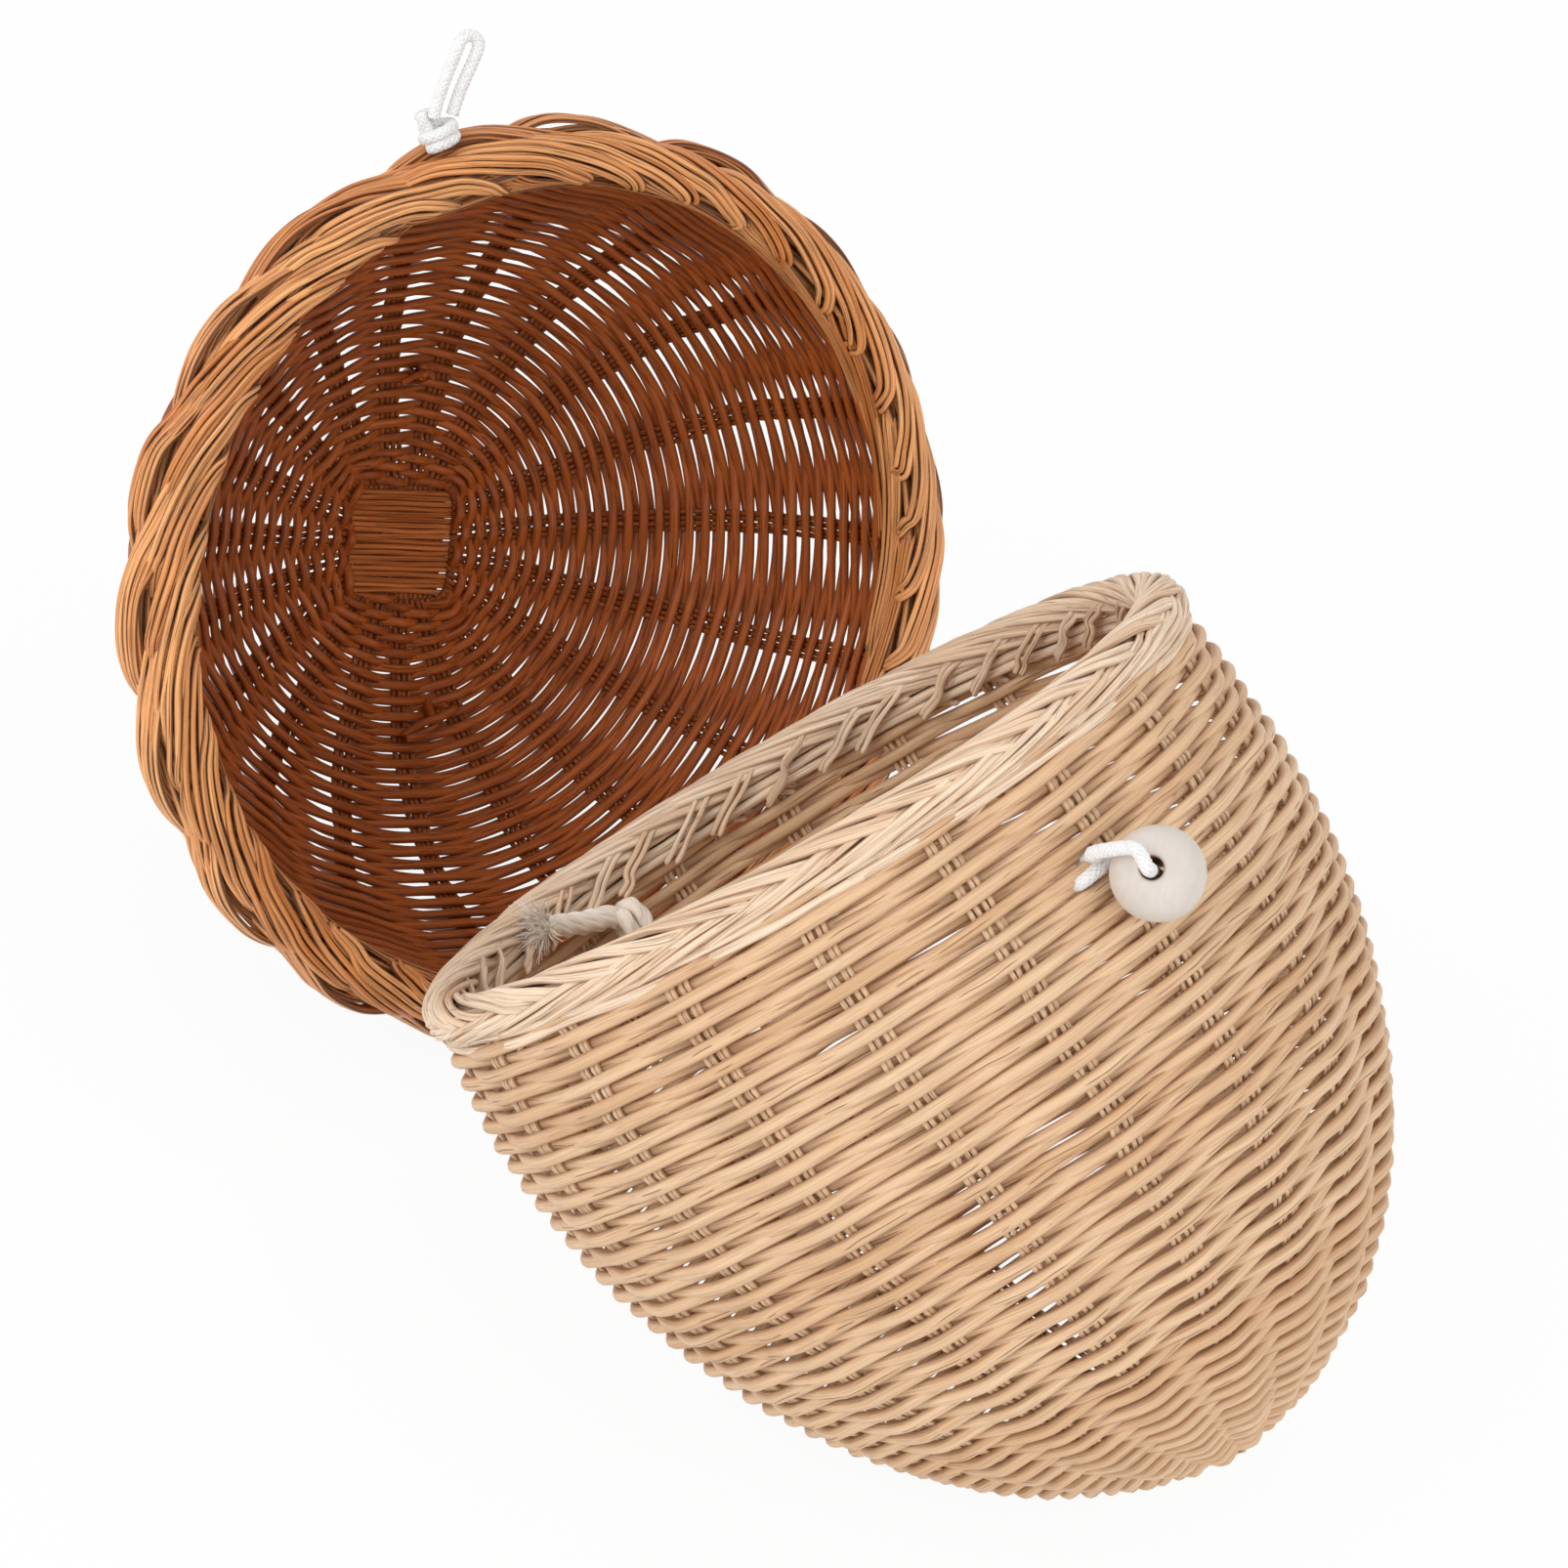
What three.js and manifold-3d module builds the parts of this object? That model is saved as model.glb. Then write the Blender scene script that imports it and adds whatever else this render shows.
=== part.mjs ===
// Acorn-shaped basket of woven reed with a hinged lid, in millimetres, +Z up.
//
// The basket lies tipped back with its open lid under its mouth, as it rests on a table.
// Both halves are made upright in frames of their own and then turned into that rest.
// Basket frame: the base cross is at z = 0 and the rim is at z = basketHeight.
// Lid frame: the opening is at z = 0 and the dome rises to z = lidHeight.

import * as THREE from 'three';
import { mergeVertices } from 'three/addons/utils/BufferGeometryUtils.js';
import Module from 'manifold-3d';

const wasm = await Module();
wasm.setup();

// Clearances
const gap = 0.3;
const rimClearance = 2.2;

// Reed weave shared by both halves
const wallThickness = 6.0;
const stakeGroups = 19;
const stakeWidth = 5.6;
const stakeThickness = 1.5;
const stakeInset = 0.2;
const facetsPerStake = 2;
const baseRadius = 19.4;
const baseReedSpan = 27;
const baseLayer = 1.4;
const baseTurn = 43.7;

// Basket half
const basketHeight = 186;
const basketWidest = 98.6;
const basketWidestHeight = 141;
const basketFullness = 1.15;
const basketRimRadius = 96.2;
const basketBorderHeight = 12;
const basketBorderThickness = 9;

// Lid half
const lidHeight = 91;
const lidDomeStart = 10;
const lidFullness = 0.75;
const lidBorderHeight = 16;
const lidBorderThickness = 11.6;
const lidBorderProud = 5;
const lidOverlap = 13;

// Handle on top of the lid
const handleDiameter = 4.8;
const handleReach = 45;
const handleRise = 20;
const handleEndInside = 3;

// Hinge rope: it leaves the basket wall below the rim and holds the lid's border
const hingeAzimuth = -149.23;
const ropeDiameter = 4.8;
const ropeHoleDepth = 46;
const ropeSocketDepth = 8;
const foldOutside = 1.4;
const foldSkew = 13.26;
const foldTilt = 8.08;
const ropeKnotDiameter = 10;
const ropeKnotLength = 13;
const ropeKnotDepth = 23;
const ropeKnotAside = 4.8;
const ropeKnotClearance = 1.5;
const ropeTailReach = 24;
const ropeTailRise = 9;

// Bead and its cord on the front of the basket
const beadDiameter = 20;
const beadBore = 4.8;
const cordDiameter = 3;
const beadCordDepth = 39;
const beadCordAside = 3.3;
const beadDrop = 8.6;
const beadShift = 4.7;
const beadTurn = 34;
const beadTip = 19;

// Closing loop, knotted at the outside of the lid's border
const loopKnotDiameter = 9;
const loopKnotLength = 11;
const loopKnotHeight = 7;
const loopReach = 20.5;
const loopSideways = 12.5;
const loopDroop = 5;
const loopSpread = 5.2;

// Rest on the table
const lidOpenAngle = 70.27;
const basketLean = 52.46;
const basketHeading = 151.583;
const basketSpin = 137.564;

const radians = THREE.MathUtils.degToRad;
const zAxis = new THREE.Vector3(0, 0, 1);

// Finishes
const paleReed = { color: 0xdebe9b, roughness: 0.62, metalness: 0 };
const paleStake = { color: 0xd2ae86, roughness: 0.66, metalness: 0 };
const brownReed = { color: 0x8a4f29, roughness: 0.6, metalness: 0 };
const brownStake = { color: 0x7a4323, roughness: 0.66, metalness: 0 };
const tanBorder = { color: 0xbd7d46, roughness: 0.6, metalness: 0 };
const creamRope = { color: 0xe1d0b8, roughness: 0.9, metalness: 0 };
const whiteCord = { color: 0xebebee, roughness: 0.8, metalness: 0 };
const whiteBead = { color: 0xe8e0da, roughness: 0.45, metalness: 0 };

// Closed solids

// Keeps only positions, joins shared vertices and turns the faces outward.
function closedGeometry(geometry) {
  const bare = new THREE.BufferGeometry();
  bare.setAttribute('position', geometry.getAttribute('position').clone());
  if (geometry.index) {
    bare.setIndex(geometry.index.clone());
  }
  const merged = mergeVertices(bare, 1e-4);
  const position = merged.getAttribute('position');
  const index = Array.from(merged.index.array);
  const kept = [];
  let volume = 0;
  for (let i = 0; i < index.length; i += 3) {
    const [a, b, c] = index.slice(i, i + 3);
    if (a === b || b === c || c === a) {
      continue;
    }
    kept.push(a, b, c);
    const corners = [a, b, c].map((v) => new THREE.Vector3().fromBufferAttribute(position, v));
    volume += corners[0].dot(corners[1].cross(corners[2])) / 6;
  }
  if (volume < 0) {
    kept.reverse();
  }
  merged.setIndex(kept);
  return merged;
}

function toSolid(geometry) {
  const closed = closedGeometry(geometry);
  return new wasm.Manifold(new wasm.Mesh({
    numProp: 3,
    vertProperties: new Float32Array(closed.getAttribute('position').array),
    triVerts: new Uint32Array(closed.index.array),
  }));
}

function toGeometry(solid) {
  const mesh = solid.getMesh();
  const geometry = new THREE.BufferGeometry();
  geometry.setAttribute('position', new THREE.BufferAttribute(new Float32Array(mesh.vertProperties), 3));
  geometry.setIndex(new THREE.BufferAttribute(new Uint32Array(mesh.triVerts), 1));
  geometry.computeVertexNormals();
  return geometry;
}

// Cuts the shapes out and keeps the main body, without slivers beside a cut.
function cutAll(geometry, cutters) {
  let solid = toSolid(geometry);
  for (const cutter of cutters) {
    solid = solid.subtract(toSolid(cutter));
  }
  const bodies = solid.decompose().sort((a, b) => b.volume() - a.volume());
  return toGeometry(bodies[0]);
}

function named(name, geometry, finish) {
  const mesh = new THREE.Mesh(geometry, new THREE.MeshStandardMaterial(finish));
  mesh.name = name;
  return mesh;
}

// Revolves a closed outline of [radius, height] pairs about Z, with a corner at startAzimuth.
function revolve(outline, segments, startAzimuth) {
  const points = [...outline, outline[0]].map(([radius, height]) => new THREE.Vector2(radius, height));
  const lathe = new THREE.LatheGeometry(points, segments, radians(startAzimuth + 90), 2 * Math.PI);
  lathe.rotateX(Math.PI / 2);
  return closedGeometry(lathe);
}

// A round bar of the given diameter along a smooth curve through the points.
function bar(points, diameter, sides, steps) {
  const section = new THREE.Shape();
  section.absarc(0, 0, diameter / 2, 0, 2 * Math.PI, false);
  const path = new THREE.CatmullRomCurve3(points, false, 'centripetal');
  const geometry = new THREE.ExtrudeGeometry(section, {
    steps,
    curveSegments: sides / 2,
    bevelEnabled: false,
    extrudePath: path,
  });
  return closedGeometry(geometry);
}

// A strip that follows a profile at one azimuth, between two depths below its surface.
function strip(profile, azimuth, width, upper, lower) {
  const along = new THREE.Vector3(Math.cos(radians(azimuth)), Math.sin(radians(azimuth)), 0);
  const across = new THREE.Vector3(-along.y, along.x, 0);
  const corners = [];
  profile.forEach(([radius, height], i) => {
    const [normalRadius, normalHeight] = profileNormal(profile, i);
    for (const [side, depth] of [[-1, upper], [1, upper], [1, lower], [-1, lower]]) {
      const point = along.clone().multiplyScalar(radius - normalRadius * depth);
      point.addScaledVector(across, side * width / 2);
      point.z = height - normalHeight * depth;
      corners.push(point.x, point.y, point.z);
    }
  });
  const index = [0, 1, 2, 0, 2, 3];
  for (let i = 0; i < profile.length - 1; i += 1) {
    for (let k = 0; k < 4; k += 1) {
      const a = i * 4 + k;
      const b = i * 4 + (k + 1) % 4;
      index.push(a, a + 4, b, b, a + 4, b + 4);
    }
  }
  const last = (profile.length - 1) * 4;
  index.push(last, last + 2, last + 1, last, last + 3, last + 2);
  const geometry = new THREE.BufferGeometry();
  geometry.setAttribute('position', new THREE.Float32BufferAttribute(corners, 3));
  geometry.setIndex(index);
  return closedGeometry(geometry);
}

// Unit normal of a profile at point i, away from the inside. It is level at the border.
function profileNormal(profile, i) {
  const last = profile.length - 1;
  if (i === last) {
    return [1, 0];
  }
  const [r0, z0] = profile[Math.max(i - 1, 0)];
  const [r1, z1] = profile[i + 1];
  const length = Math.hypot(r1 - r0, z1 - z0);
  const sign = Math.sign(profile[last][1] - profile[0][1]);
  return [sign * (z1 - z0) / length, -sign * (r1 - r0) / length];
}

function polar(radius, azimuth, height) {
  return new THREE.Vector3(radius * Math.cos(radians(azimuth)), radius * Math.sin(radians(azimuth)), height);
}

// Profiles, from the base outward to the border

const stakeSpacing = 360 / stakeGroups;
const firstStake = hingeAzimuth + stakeSpacing / 2;
const segments = stakeGroups * facetsPerStake;
const flatFactor = Math.cos(Math.PI / segments);
const baseHole = baseRadius + gap;
const baseThickness = 2 * baseLayer + gap;
const basketWallTop = basketHeight - basketBorderHeight - gap;
const lidWallBottom = lidBorderHeight + gap;
const lidBorderInner = basketRimRadius + rimClearance;
const lidBorderRadius = lidBorderInner + lidBorderThickness;
const lidWidest = lidBorderRadius - lidBorderProud;

// Radius of the shoulder above the widest height, by its share of the way up to the border.
function shoulderRadius(share) {
  return basketWidest - (basketWidest - basketRimRadius) * share ** 2;
}

function basketProfile() {
  const lowest = Math.acos((baseHole / basketWidest) ** (1 / basketFullness));
  const bellySteps = 7;
  const tipReach = (basketWidestHeight - gap) / Math.sin(lowest);
  const points = [];
  for (let i = 0; i <= bellySteps; i += 1) {
    const t = lowest * (1 - i / bellySteps);
    const radius = basketWidest * Math.cos(t) ** basketFullness;
    points.push([radius, basketWidestHeight - tipReach * Math.sin(t)]);
  }
  const shoulderSteps = 2;
  for (let i = 1; i <= shoulderSteps; i += 1) {
    const share = i / shoulderSteps;
    points.push([shoulderRadius(share), basketWidestHeight + (basketWallTop - basketWidestHeight) * share]);
  }
  return points;
}

function lidProfile() {
  const reach = lidHeight - lidDomeStart;
  const highest = Math.acos((baseHole / lidWidest) ** (1 / lidFullness));
  const lowest = Math.asin((lidWallBottom - lidDomeStart) / reach);
  const steps = 7;
  const points = [];
  for (let i = 0; i <= steps; i += 1) {
    const t = highest + (lowest - highest) * i / steps;
    points.push([lidWidest * Math.cos(t) ** lidFullness, lidDomeStart + reach * Math.sin(t)]);
  }
  return points;
}

// The profile moved inward by a depth, and cut off at the base hole.
function innerProfile(profile, depth) {
  const moved = profile.map(([radius, height], i) => {
    const [normalRadius, normalHeight] = profileNormal(profile, i);
    return [radius - normalRadius * depth, height - normalHeight * depth];
  });
  const kept = moved.filter(([radius]) => radius > baseHole + gap);
  const last = profile.length - 1;
  kept[kept.length - 1] = [moved[last][0], profile[last][1]];
  return [[baseHole, kept[0][1] - Math.sign(profile[last][1] - profile[0][1])], ...kept];
}

function wallGeometry(profile) {
  const inner = innerProfile(profile, wallThickness);
  return revolve([...profile, ...inner.reverse()], segments, firstStake + stakeSpacing / 4);
}

// Flats of the faceted wall lie a little inside the round profile.
function flatProfile(profile) {
  return profile.map(([radius, height]) => [radius * flatFactor, height]);
}

function stakeAzimuth(index) {
  return firstStake + index * stakeSpacing;
}

function numbered(prefix, index) {
  return `${prefix}_${String(index + 1).padStart(2, '0')}`;
}

// Makes the 19 groups of thin reeds and the grooves that hold them.
function stakesAndGrooves(prefix, profile, outerDepth, finish) {
  const flat = flatProfile(profile);
  const last = flat.length - 1;
  const trimmed = flat.map((point) => [...point]);
  trimmed[last][1] -= Math.sign(flat[last][1] - flat[0][1]) * gap;
  const startShare = stakeThickness / Math.hypot(flat[1][0] - flat[0][0], flat[1][1] - flat[0][1]);
  trimmed[0] = flat[0].map((value, k) => value + (flat[1][k] - value) * startShare);
  const stakes = [];
  const grooves = [];
  for (let i = 0; i < stakeGroups; i += 1) {
    const azimuth = stakeAzimuth(i);
    const top = outerDepth;
    const bottom = outerDepth + stakeThickness;
    stakes.push(named(numbered(prefix, i), strip(trimmed, azimuth, stakeWidth, top, bottom), finish));
    const outward = outerDepth < wallThickness / 2;
    const grooveTop = outward ? -2 : top - gap;
    const grooveBottom = outward ? bottom + gap : wallThickness * 2;
    const long = flat.map((point) => [...point]);
    long[last][1] += Math.sign(flat[last][1] - flat[0][1]);
    long.unshift([flat[0][0] - 2 * gap, flat[0][1]]);
    grooves.push(strip(long, azimuth, stakeWidth + 2 * gap, grooveTop, grooveBottom));
  }
  return { stakes, grooves };
}

// One layer of the base cross: a round plate cut to a band of parallel reeds.
function baseReeds(name, bottom, turned, finish) {
  const radius = baseRadius;
  const half = baseReedSpan / 2;
  const reach = Math.sqrt(radius ** 2 - half ** 2);
  const angle = Math.atan2(half, reach);
  const outline = new THREE.Shape();
  outline.absarc(0, 0, radius, -angle, angle, false);
  outline.absarc(0, 0, radius, Math.PI - angle, Math.PI + angle, false);
  const plate = new THREE.ExtrudeGeometry(outline, {
    depth: baseLayer,
    curveSegments: 4,
    bevelEnabled: false,
  });
  plate.rotateZ(radians(turned ? baseTurn + 90 : baseTurn));
  plate.translate(0, 0, bottom);
  return named(name, closedGeometry(plate), finish);
}

// Basket half

function basketBorder() {
  const outer = basketRimRadius;
  const inner = outer - basketBorderThickness;
  const bottom = basketHeight - basketBorderHeight;
  const crest = 3;
  const outline = [
    [inner, bottom],
    [outer, bottom],
    [outer, basketHeight - crest],
    [outer - crest, basketHeight],
    [inner + crest, basketHeight],
    [inner, basketHeight - crest],
  ];
  return named('basket_border', revolve(outline, segments, firstStake), paleReed);
}

const ropeHoleHeight = basketHeight - ropeHoleDepth;
const beadCordHeight = basketHeight - beadCordDepth;
const beadCordAzimuth = hingeAzimuth + 180 - beadCordAside;
const foldRadius = basketWidest + foldOutside;

function basketWeave(profile, grooves) {
  const reach = basketWidest + 10;
  const ropeHole = bar([
    polar(reach - 30, hingeAzimuth, ropeHoleHeight),
    polar(reach, hingeAzimuth, ropeHoleHeight),
  ], ropeDiameter + 2 * gap, 10, 1);
  const cordHole = bar([
    polar(reach - 30, beadCordAzimuth, beadCordHeight),
    polar(reach, beadCordAzimuth, beadCordHeight),
  ], cordDiameter + 2 * gap, 8, 1);
  return named('basket_weave', cutAll(wallGeometry(profile), [...grooves, ropeHole, cordHole]), paleReed);
}

// A spheroid about Z, for knots.
function spheroid(diameter, length, sides) {
  const steps = sides / 2;
  const outline = [];
  for (let i = 0; i <= steps; i += 1) {
    const t = Math.PI * (i / steps - 0.5);
    const radius = i === 0 || i === steps ? 0 : diameter / 2 * Math.cos(t);
    outline.push(new THREE.Vector2(radius, length / 2 * Math.sin(t)));
  }
  const lathe = new THREE.LatheGeometry(outline, sides);
  lathe.rotateX(Math.PI / 2);
  return closedGeometry(lathe);
}

// Rope from the wall's hole up the inside to its knot, and the tail beyond the knot
const ropeInside = basketWidest - wallThickness - ropeDiameter / 2 - 2 * gap;
const knotAzimuth = hingeAzimuth + ropeKnotAside;
const knotHeight = basketHeight - ropeKnotDepth;
const knotShare = Math.max(0, knotHeight - basketWidestHeight) / (basketWallTop - basketWidestHeight);
const knotRadius = shoulderRadius(knotShare) - wallThickness - ropeKnotDiameter / 2 - ropeKnotClearance;

function ropeUpPoints() {
  const knotFoot = knotHeight - ropeKnotLength / 2 - gap;
  const middle = hingeAzimuth + ropeKnotAside * 0.6;
  return [
    polar(foldRadius - gap, hingeAzimuth, ropeHoleHeight),
    polar(ropeInside + ropeDiameter, hingeAzimuth, ropeHoleHeight),
    polar(ropeInside + ropeDiameter / 2, hingeAzimuth, ropeHoleHeight),
    polar(ropeInside, hingeAzimuth, ropeHoleHeight + 0.3),
    polar(knotRadius, middle, (ropeHoleHeight + knotFoot) / 2 - 1),
    polar(knotRadius, knotAzimuth, knotFoot - 2),
    polar(knotRadius, knotAzimuth, knotFoot),
  ];
}

function ropeTailPoints() {
  const lyingRadius = basketRimRadius - basketBorderThickness - ropeDiameter / 2 - gap;
  const knotTop = knotHeight + ropeKnotLength / 2;
  const perMillimetre = 360 / (2 * Math.PI * lyingRadius);
  const shares = [0, 0.12, 0.4, 0.7, 1];
  return shares.map((share, i) => {
    const azimuth = knotAzimuth + (2 + share * ropeTailReach) * perMillimetre;
    const height = knotTop + (i === 0 ? gap : 1.5) + share ** 1.2 * ropeTailRise;
    return polar(i === 0 ? knotRadius : lyingRadius, azimuth, height);
  });
}

function ropePieces() {
  const up = bar(ropeUpPoints(), ropeDiameter, 10, 10);
  const tail = bar(ropeTailPoints(), ropeDiameter, 10, 9);
  const knot = spheroid(ropeKnotDiameter, ropeKnotLength, 12);
  const place = polar(knotRadius, knotAzimuth, knotHeight);
  knot.translate(place.x, place.y, place.z);
  return [
    named('hinge_rope', up, creamRope),
    named('hinge_rope_knot', knot, creamRope),
    named('hinge_rope_tail', tail, creamRope),
  ];
}

// The bead hangs beside its cord's hole and can swing about it.
const beadRadius = basketWidest + beadDiameter / 2 + gap;

function beadFrame() {
  const outward = polar(1, beadCordAzimuth, 0);
  const aside = zAxis.clone().cross(outward);
  const centre = polar(beadRadius, beadCordAzimuth, beadCordHeight - beadDrop);
  centre.addScaledVector(aside, beadShift);
  const bore = outward.clone().applyAxisAngle(zAxis, -radians(beadTurn));
  bore.multiplyScalar(Math.cos(radians(beadTip))).addScaledVector(zAxis, Math.sin(radians(beadTip)));
  return { outward, aside, centre, bore };
}

function beadCordPoints() {
  const { outward, aside, centre, bore } = beadFrame();
  const half = beadDiameter / 2;
  const exit = polar(basketWidest - wallThickness, beadCordAzimuth, beadCordHeight);
  const around = half + cordDiameter / 2 + 2 * gap;
  const hug = aside.clone().multiplyScalar(-(beadBore - cordDiameter) / 2 + gap);
  const upper = aside.clone().multiplyScalar(-0.62).addScaledVector(zAxis, 0.78);
  const at = (share, out) => centre.clone()
    .addScaledVector(upper, around * share)
    .addScaledVector(outward, out);
  return [
    exit,
    exit.clone().addScaledVector(outward, wallThickness / 2),
    exit.clone().addScaledVector(outward, wallThickness),
    exit.clone().addScaledVector(outward, wallThickness + cordDiameter / 2),
    at(1.12, -half * 0.42),
    at(1.1, half * 0.15),
    at(0.9, half * 0.85),
    centre.clone().addScaledVector(bore, half + cordDiameter + 0.6).add(hug),
    centre.clone().addScaledVector(bore, half * 0.7).add(hug),
    centre.clone().addScaledVector(bore, -half * 0.8).add(hug),
  ];
}

function beadPieces() {
  const { centre, bore } = beadFrame();
  const ball = spheroid(beadDiameter, beadDiameter, 18);
  const turned = new THREE.Quaternion().setFromUnitVectors(zAxis, bore);
  ball.applyQuaternion(turned).translate(centre.x, centre.y, centre.z);
  const hole = bar([
    centre.clone().addScaledVector(bore, -beadDiameter),
    centre.clone().addScaledVector(bore, beadDiameter),
  ], beadBore, 12, 1);
  return [
    named('bead', cutAll(ball, [hole]), whiteBead),
    named('bead_cord', bar(beadCordPoints(), cordDiameter, 8, 22), whiteCord),
  ];
}

function makeBasket() {
  const basket = new THREE.Group();
  const profile = basketProfile();
  const { stakes, grooves } = stakesAndGrooves('basket_stake', profile, stakeInset, paleStake);
  basket.add(basketWeave(profile, grooves), basketBorder(), ...stakes);
  basket.add(baseReeds('basket_base_reeds_outer', 0, false, paleStake));
  basket.add(baseReeds('basket_base_reeds_inner', baseLayer + gap, true, paleStake));
  basket.add(...ropePieces(), ...beadPieces());
  return basket;
}

// Lid half

const linkRadius = (lidBorderInner + lidBorderRadius) / 2;

function lidBorder() {
  const inner = lidBorderInner;
  const outer = lidBorderRadius;
  const wallOuter = lidProfile().at(-1)[0];
  const outline = [
    [inner, 2],
    [inner + 2, 0],
    [outer - 4, 0],
    [outer, 4],
    [outer, 10],
    [wallOuter + 1, lidBorderHeight],
    [inner, lidBorderHeight],
  ];
  const socket = bar([
    polar(linkRadius, hingeAzimuth, -ropeSocketDepth),
    polar(linkRadius, hingeAzimuth, ropeSocketDepth),
  ], ropeDiameter + 2 * gap, 10, 1);
  const ring = revolve(outline, segments, firstStake + stakeSpacing / 4);
  return named('lid_border', cutAll(ring, [socket]), tanBorder);
}

function handlePoints() {
  const farAzimuth = hingeAzimuth + 180 + stakeSpacing / 2;
  const foot = lidSurfaceHeight(handleReach) - wallThickness - handleEndInside;
  const top = lidHeight + handleRise;
  const near = polar(handleReach, hingeAzimuth, 0);
  const far = polar(handleReach, farAzimuth, 0);
  const shares = [0, 0.04, 0.14, 0.3, 0.5, 0.7, 0.86, 0.96, 1];
  const rises = [0, 0.36, 0.72, 0.94, 1, 0.94, 0.72, 0.36, 0];
  return shares.map((share, i) => {
    const point = near.clone().lerp(far, share);
    point.z = foot + (top - foot) * rises[i];
    return point;
  });
}

// Height of the lid's outer surface at a distance from its axis.
function lidSurfaceHeight(radius) {
  const t = Math.acos((radius / lidWidest) ** (1 / lidFullness));
  return lidDomeStart + (lidHeight - lidDomeStart) * Math.sin(t);
}

function makeLid() {
  const lid = new THREE.Group();
  const profile = lidProfile();
  const stakeDepth = wallThickness - stakeInset - stakeThickness;
  const { stakes, grooves } = stakesAndGrooves('lid_stake', profile, stakeDepth, brownStake);
  const points = handlePoints();
  const handle = bar(points, handleDiameter, 10, 24);
  const channel = bar(points, handleDiameter + 2 * gap, 10, 24);
  lid.add(named('lid_weave', cutAll(wallGeometry(profile), [...grooves, channel]), brownReed));
  lid.add(lidBorder(), ...stakes);
  lid.add(baseReeds('lid_base_reeds_outer', lidHeight - baseLayer, false, brownStake));
  lid.add(baseReeds('lid_base_reeds_inner', lidHeight - baseThickness, true, brownStake));
  lid.add(named('lid_handle', handle, brownReed), ropeLink(), ...closingLoop());
  return lid;
}

// Rope on the outside, from the fold up into the lid's border.
function ropeLink() {
  const fold = ropeHoleHeight - (basketHeight - lidOverlap);
  const start = foldRadius + ropeDiameter / 2;
  const points = [
    polar(start, hingeAzimuth, fold + gap),
    polar(start, hingeAzimuth, fold + ropeDiameter),
    polar((start + linkRadius) / 2, hingeAzimuth, fold / 2),
    polar(linkRadius, hingeAzimuth, -ropeDiameter),
    polar(linkRadius, hingeAzimuth, ropeSocketDepth - gap),
  ];
  return named('hinge_rope_link', bar(points, ropeDiameter, 10, 6), creamRope);
}

// The loop swings about its knot, whose long axis runs along the border.
const loopAzimuth = hingeAzimuth + 180 - stakeSpacing / 2;
const loopKnotRadius = lidBorderRadius + loopKnotDiameter / 2 + gap;

function loopPoints() {
  const outward = polar(1, loopAzimuth, 0);
  const aside = zAxis.clone().cross(outward);
  const knot = polar(loopKnotRadius, loopAzimuth, loopKnotHeight);
  const half = loopSpread / 2;
  const start = (loopKnotDiameter / 2 + gap) / loopReach;
  const lean = Math.atan2(loopSideways, loopReach);
  const at = (share, side, beyond) => {
    const turn = lean * share;
    const out = loopReach * share + beyond * Math.cos(turn) - side * Math.sin(turn);
    const across = loopSideways * share ** 1.4 + beyond * Math.sin(turn) + side * Math.cos(turn);
    const point = knot.clone().addScaledVector(outward, out).addScaledVector(aside, across);
    return point.addScaledVector(zAxis, -loopDroop * share);
  };
  const leg = [start, start + 0.12, 0.55, 0.85];
  const tip = [-60, 0, 60].map(radians);
  return [
    ...leg.map((share) => at(share, -half, 0)),
    ...tip.map((angle) => at(0.92, half * Math.sin(angle), half * Math.cos(angle))),
    ...leg.reverse().map((share) => at(share, half, 0)),
  ];
}

function closingLoop() {
  const knot = spheroid(loopKnotDiameter, loopKnotLength, 12);
  knot.rotateX(Math.PI / 2);
  knot.rotateZ(radians(loopAzimuth));
  const place = polar(loopKnotRadius, loopAzimuth, loopKnotHeight);
  knot.translate(place.x, place.y, place.z);
  return [
    named('closing_loop_knot', knot, whiteCord),
    named('closing_loop', bar(loopPoints(), cordDiameter, 8, 26), whiteCord),
  ];
}

const basketHalf = makeBasket();
const lidHalf = makeLid();
const acornBasket = new THREE.Group();

// Closed, the lid sits over the rim; the fold group turns it open about the rope.
const foldPoint = polar(foldRadius, hingeAzimuth, ropeHoleHeight);
const outwardDirection = polar(1, hingeAzimuth, 0);
const foldAxis = zAxis.clone().cross(outwardDirection);
foldAxis.addScaledVector(zAxis, Math.tan(radians(foldTilt)));
foldAxis.addScaledVector(outwardDirection, Math.tan(radians(foldSkew)));
foldAxis.normalize();

const lidFold = new THREE.Group();
lidFold.name = 'lid_fold';
lidFold.position.copy(foldPoint);
lidFold.setRotationFromAxisAngle(foldAxis, radians(lidOpenAngle));
lidHalf.position.set(0, 0, basketHeight - lidOverlap).sub(foldPoint);
lidFold.add(lidHalf);
basketHalf.add(lidFold);

const basketTurn = new THREE.Group();
basketTurn.rotation.set(0, radians(basketLean), radians(basketHeading), 'ZYX');
basketHalf.rotation.z = radians(basketSpin);
basketTurn.add(basketHalf);
acornBasket.add(basketTurn);

// The origin is on the table, under the middle of the basket and its lid without their cords.
acornBasket.updateMatrixWorld(true);
const extent = new THREE.Box3();
acornBasket.traverse((piece) => {
  if (piece.isMesh && !/rope|cord|loop/.test(piece.name)) {
    extent.expandByObject(piece, true);
  }
});
const middle = extent.getCenter(new THREE.Vector3());
acornBasket.position.set(-middle.x, -middle.y, -extent.min.z);

export default acornBasket;
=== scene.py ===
import logging
import math
from dataclasses import dataclass, field, replace
from enum import Enum
from typing import Any, NamedTuple, Sequence

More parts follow.
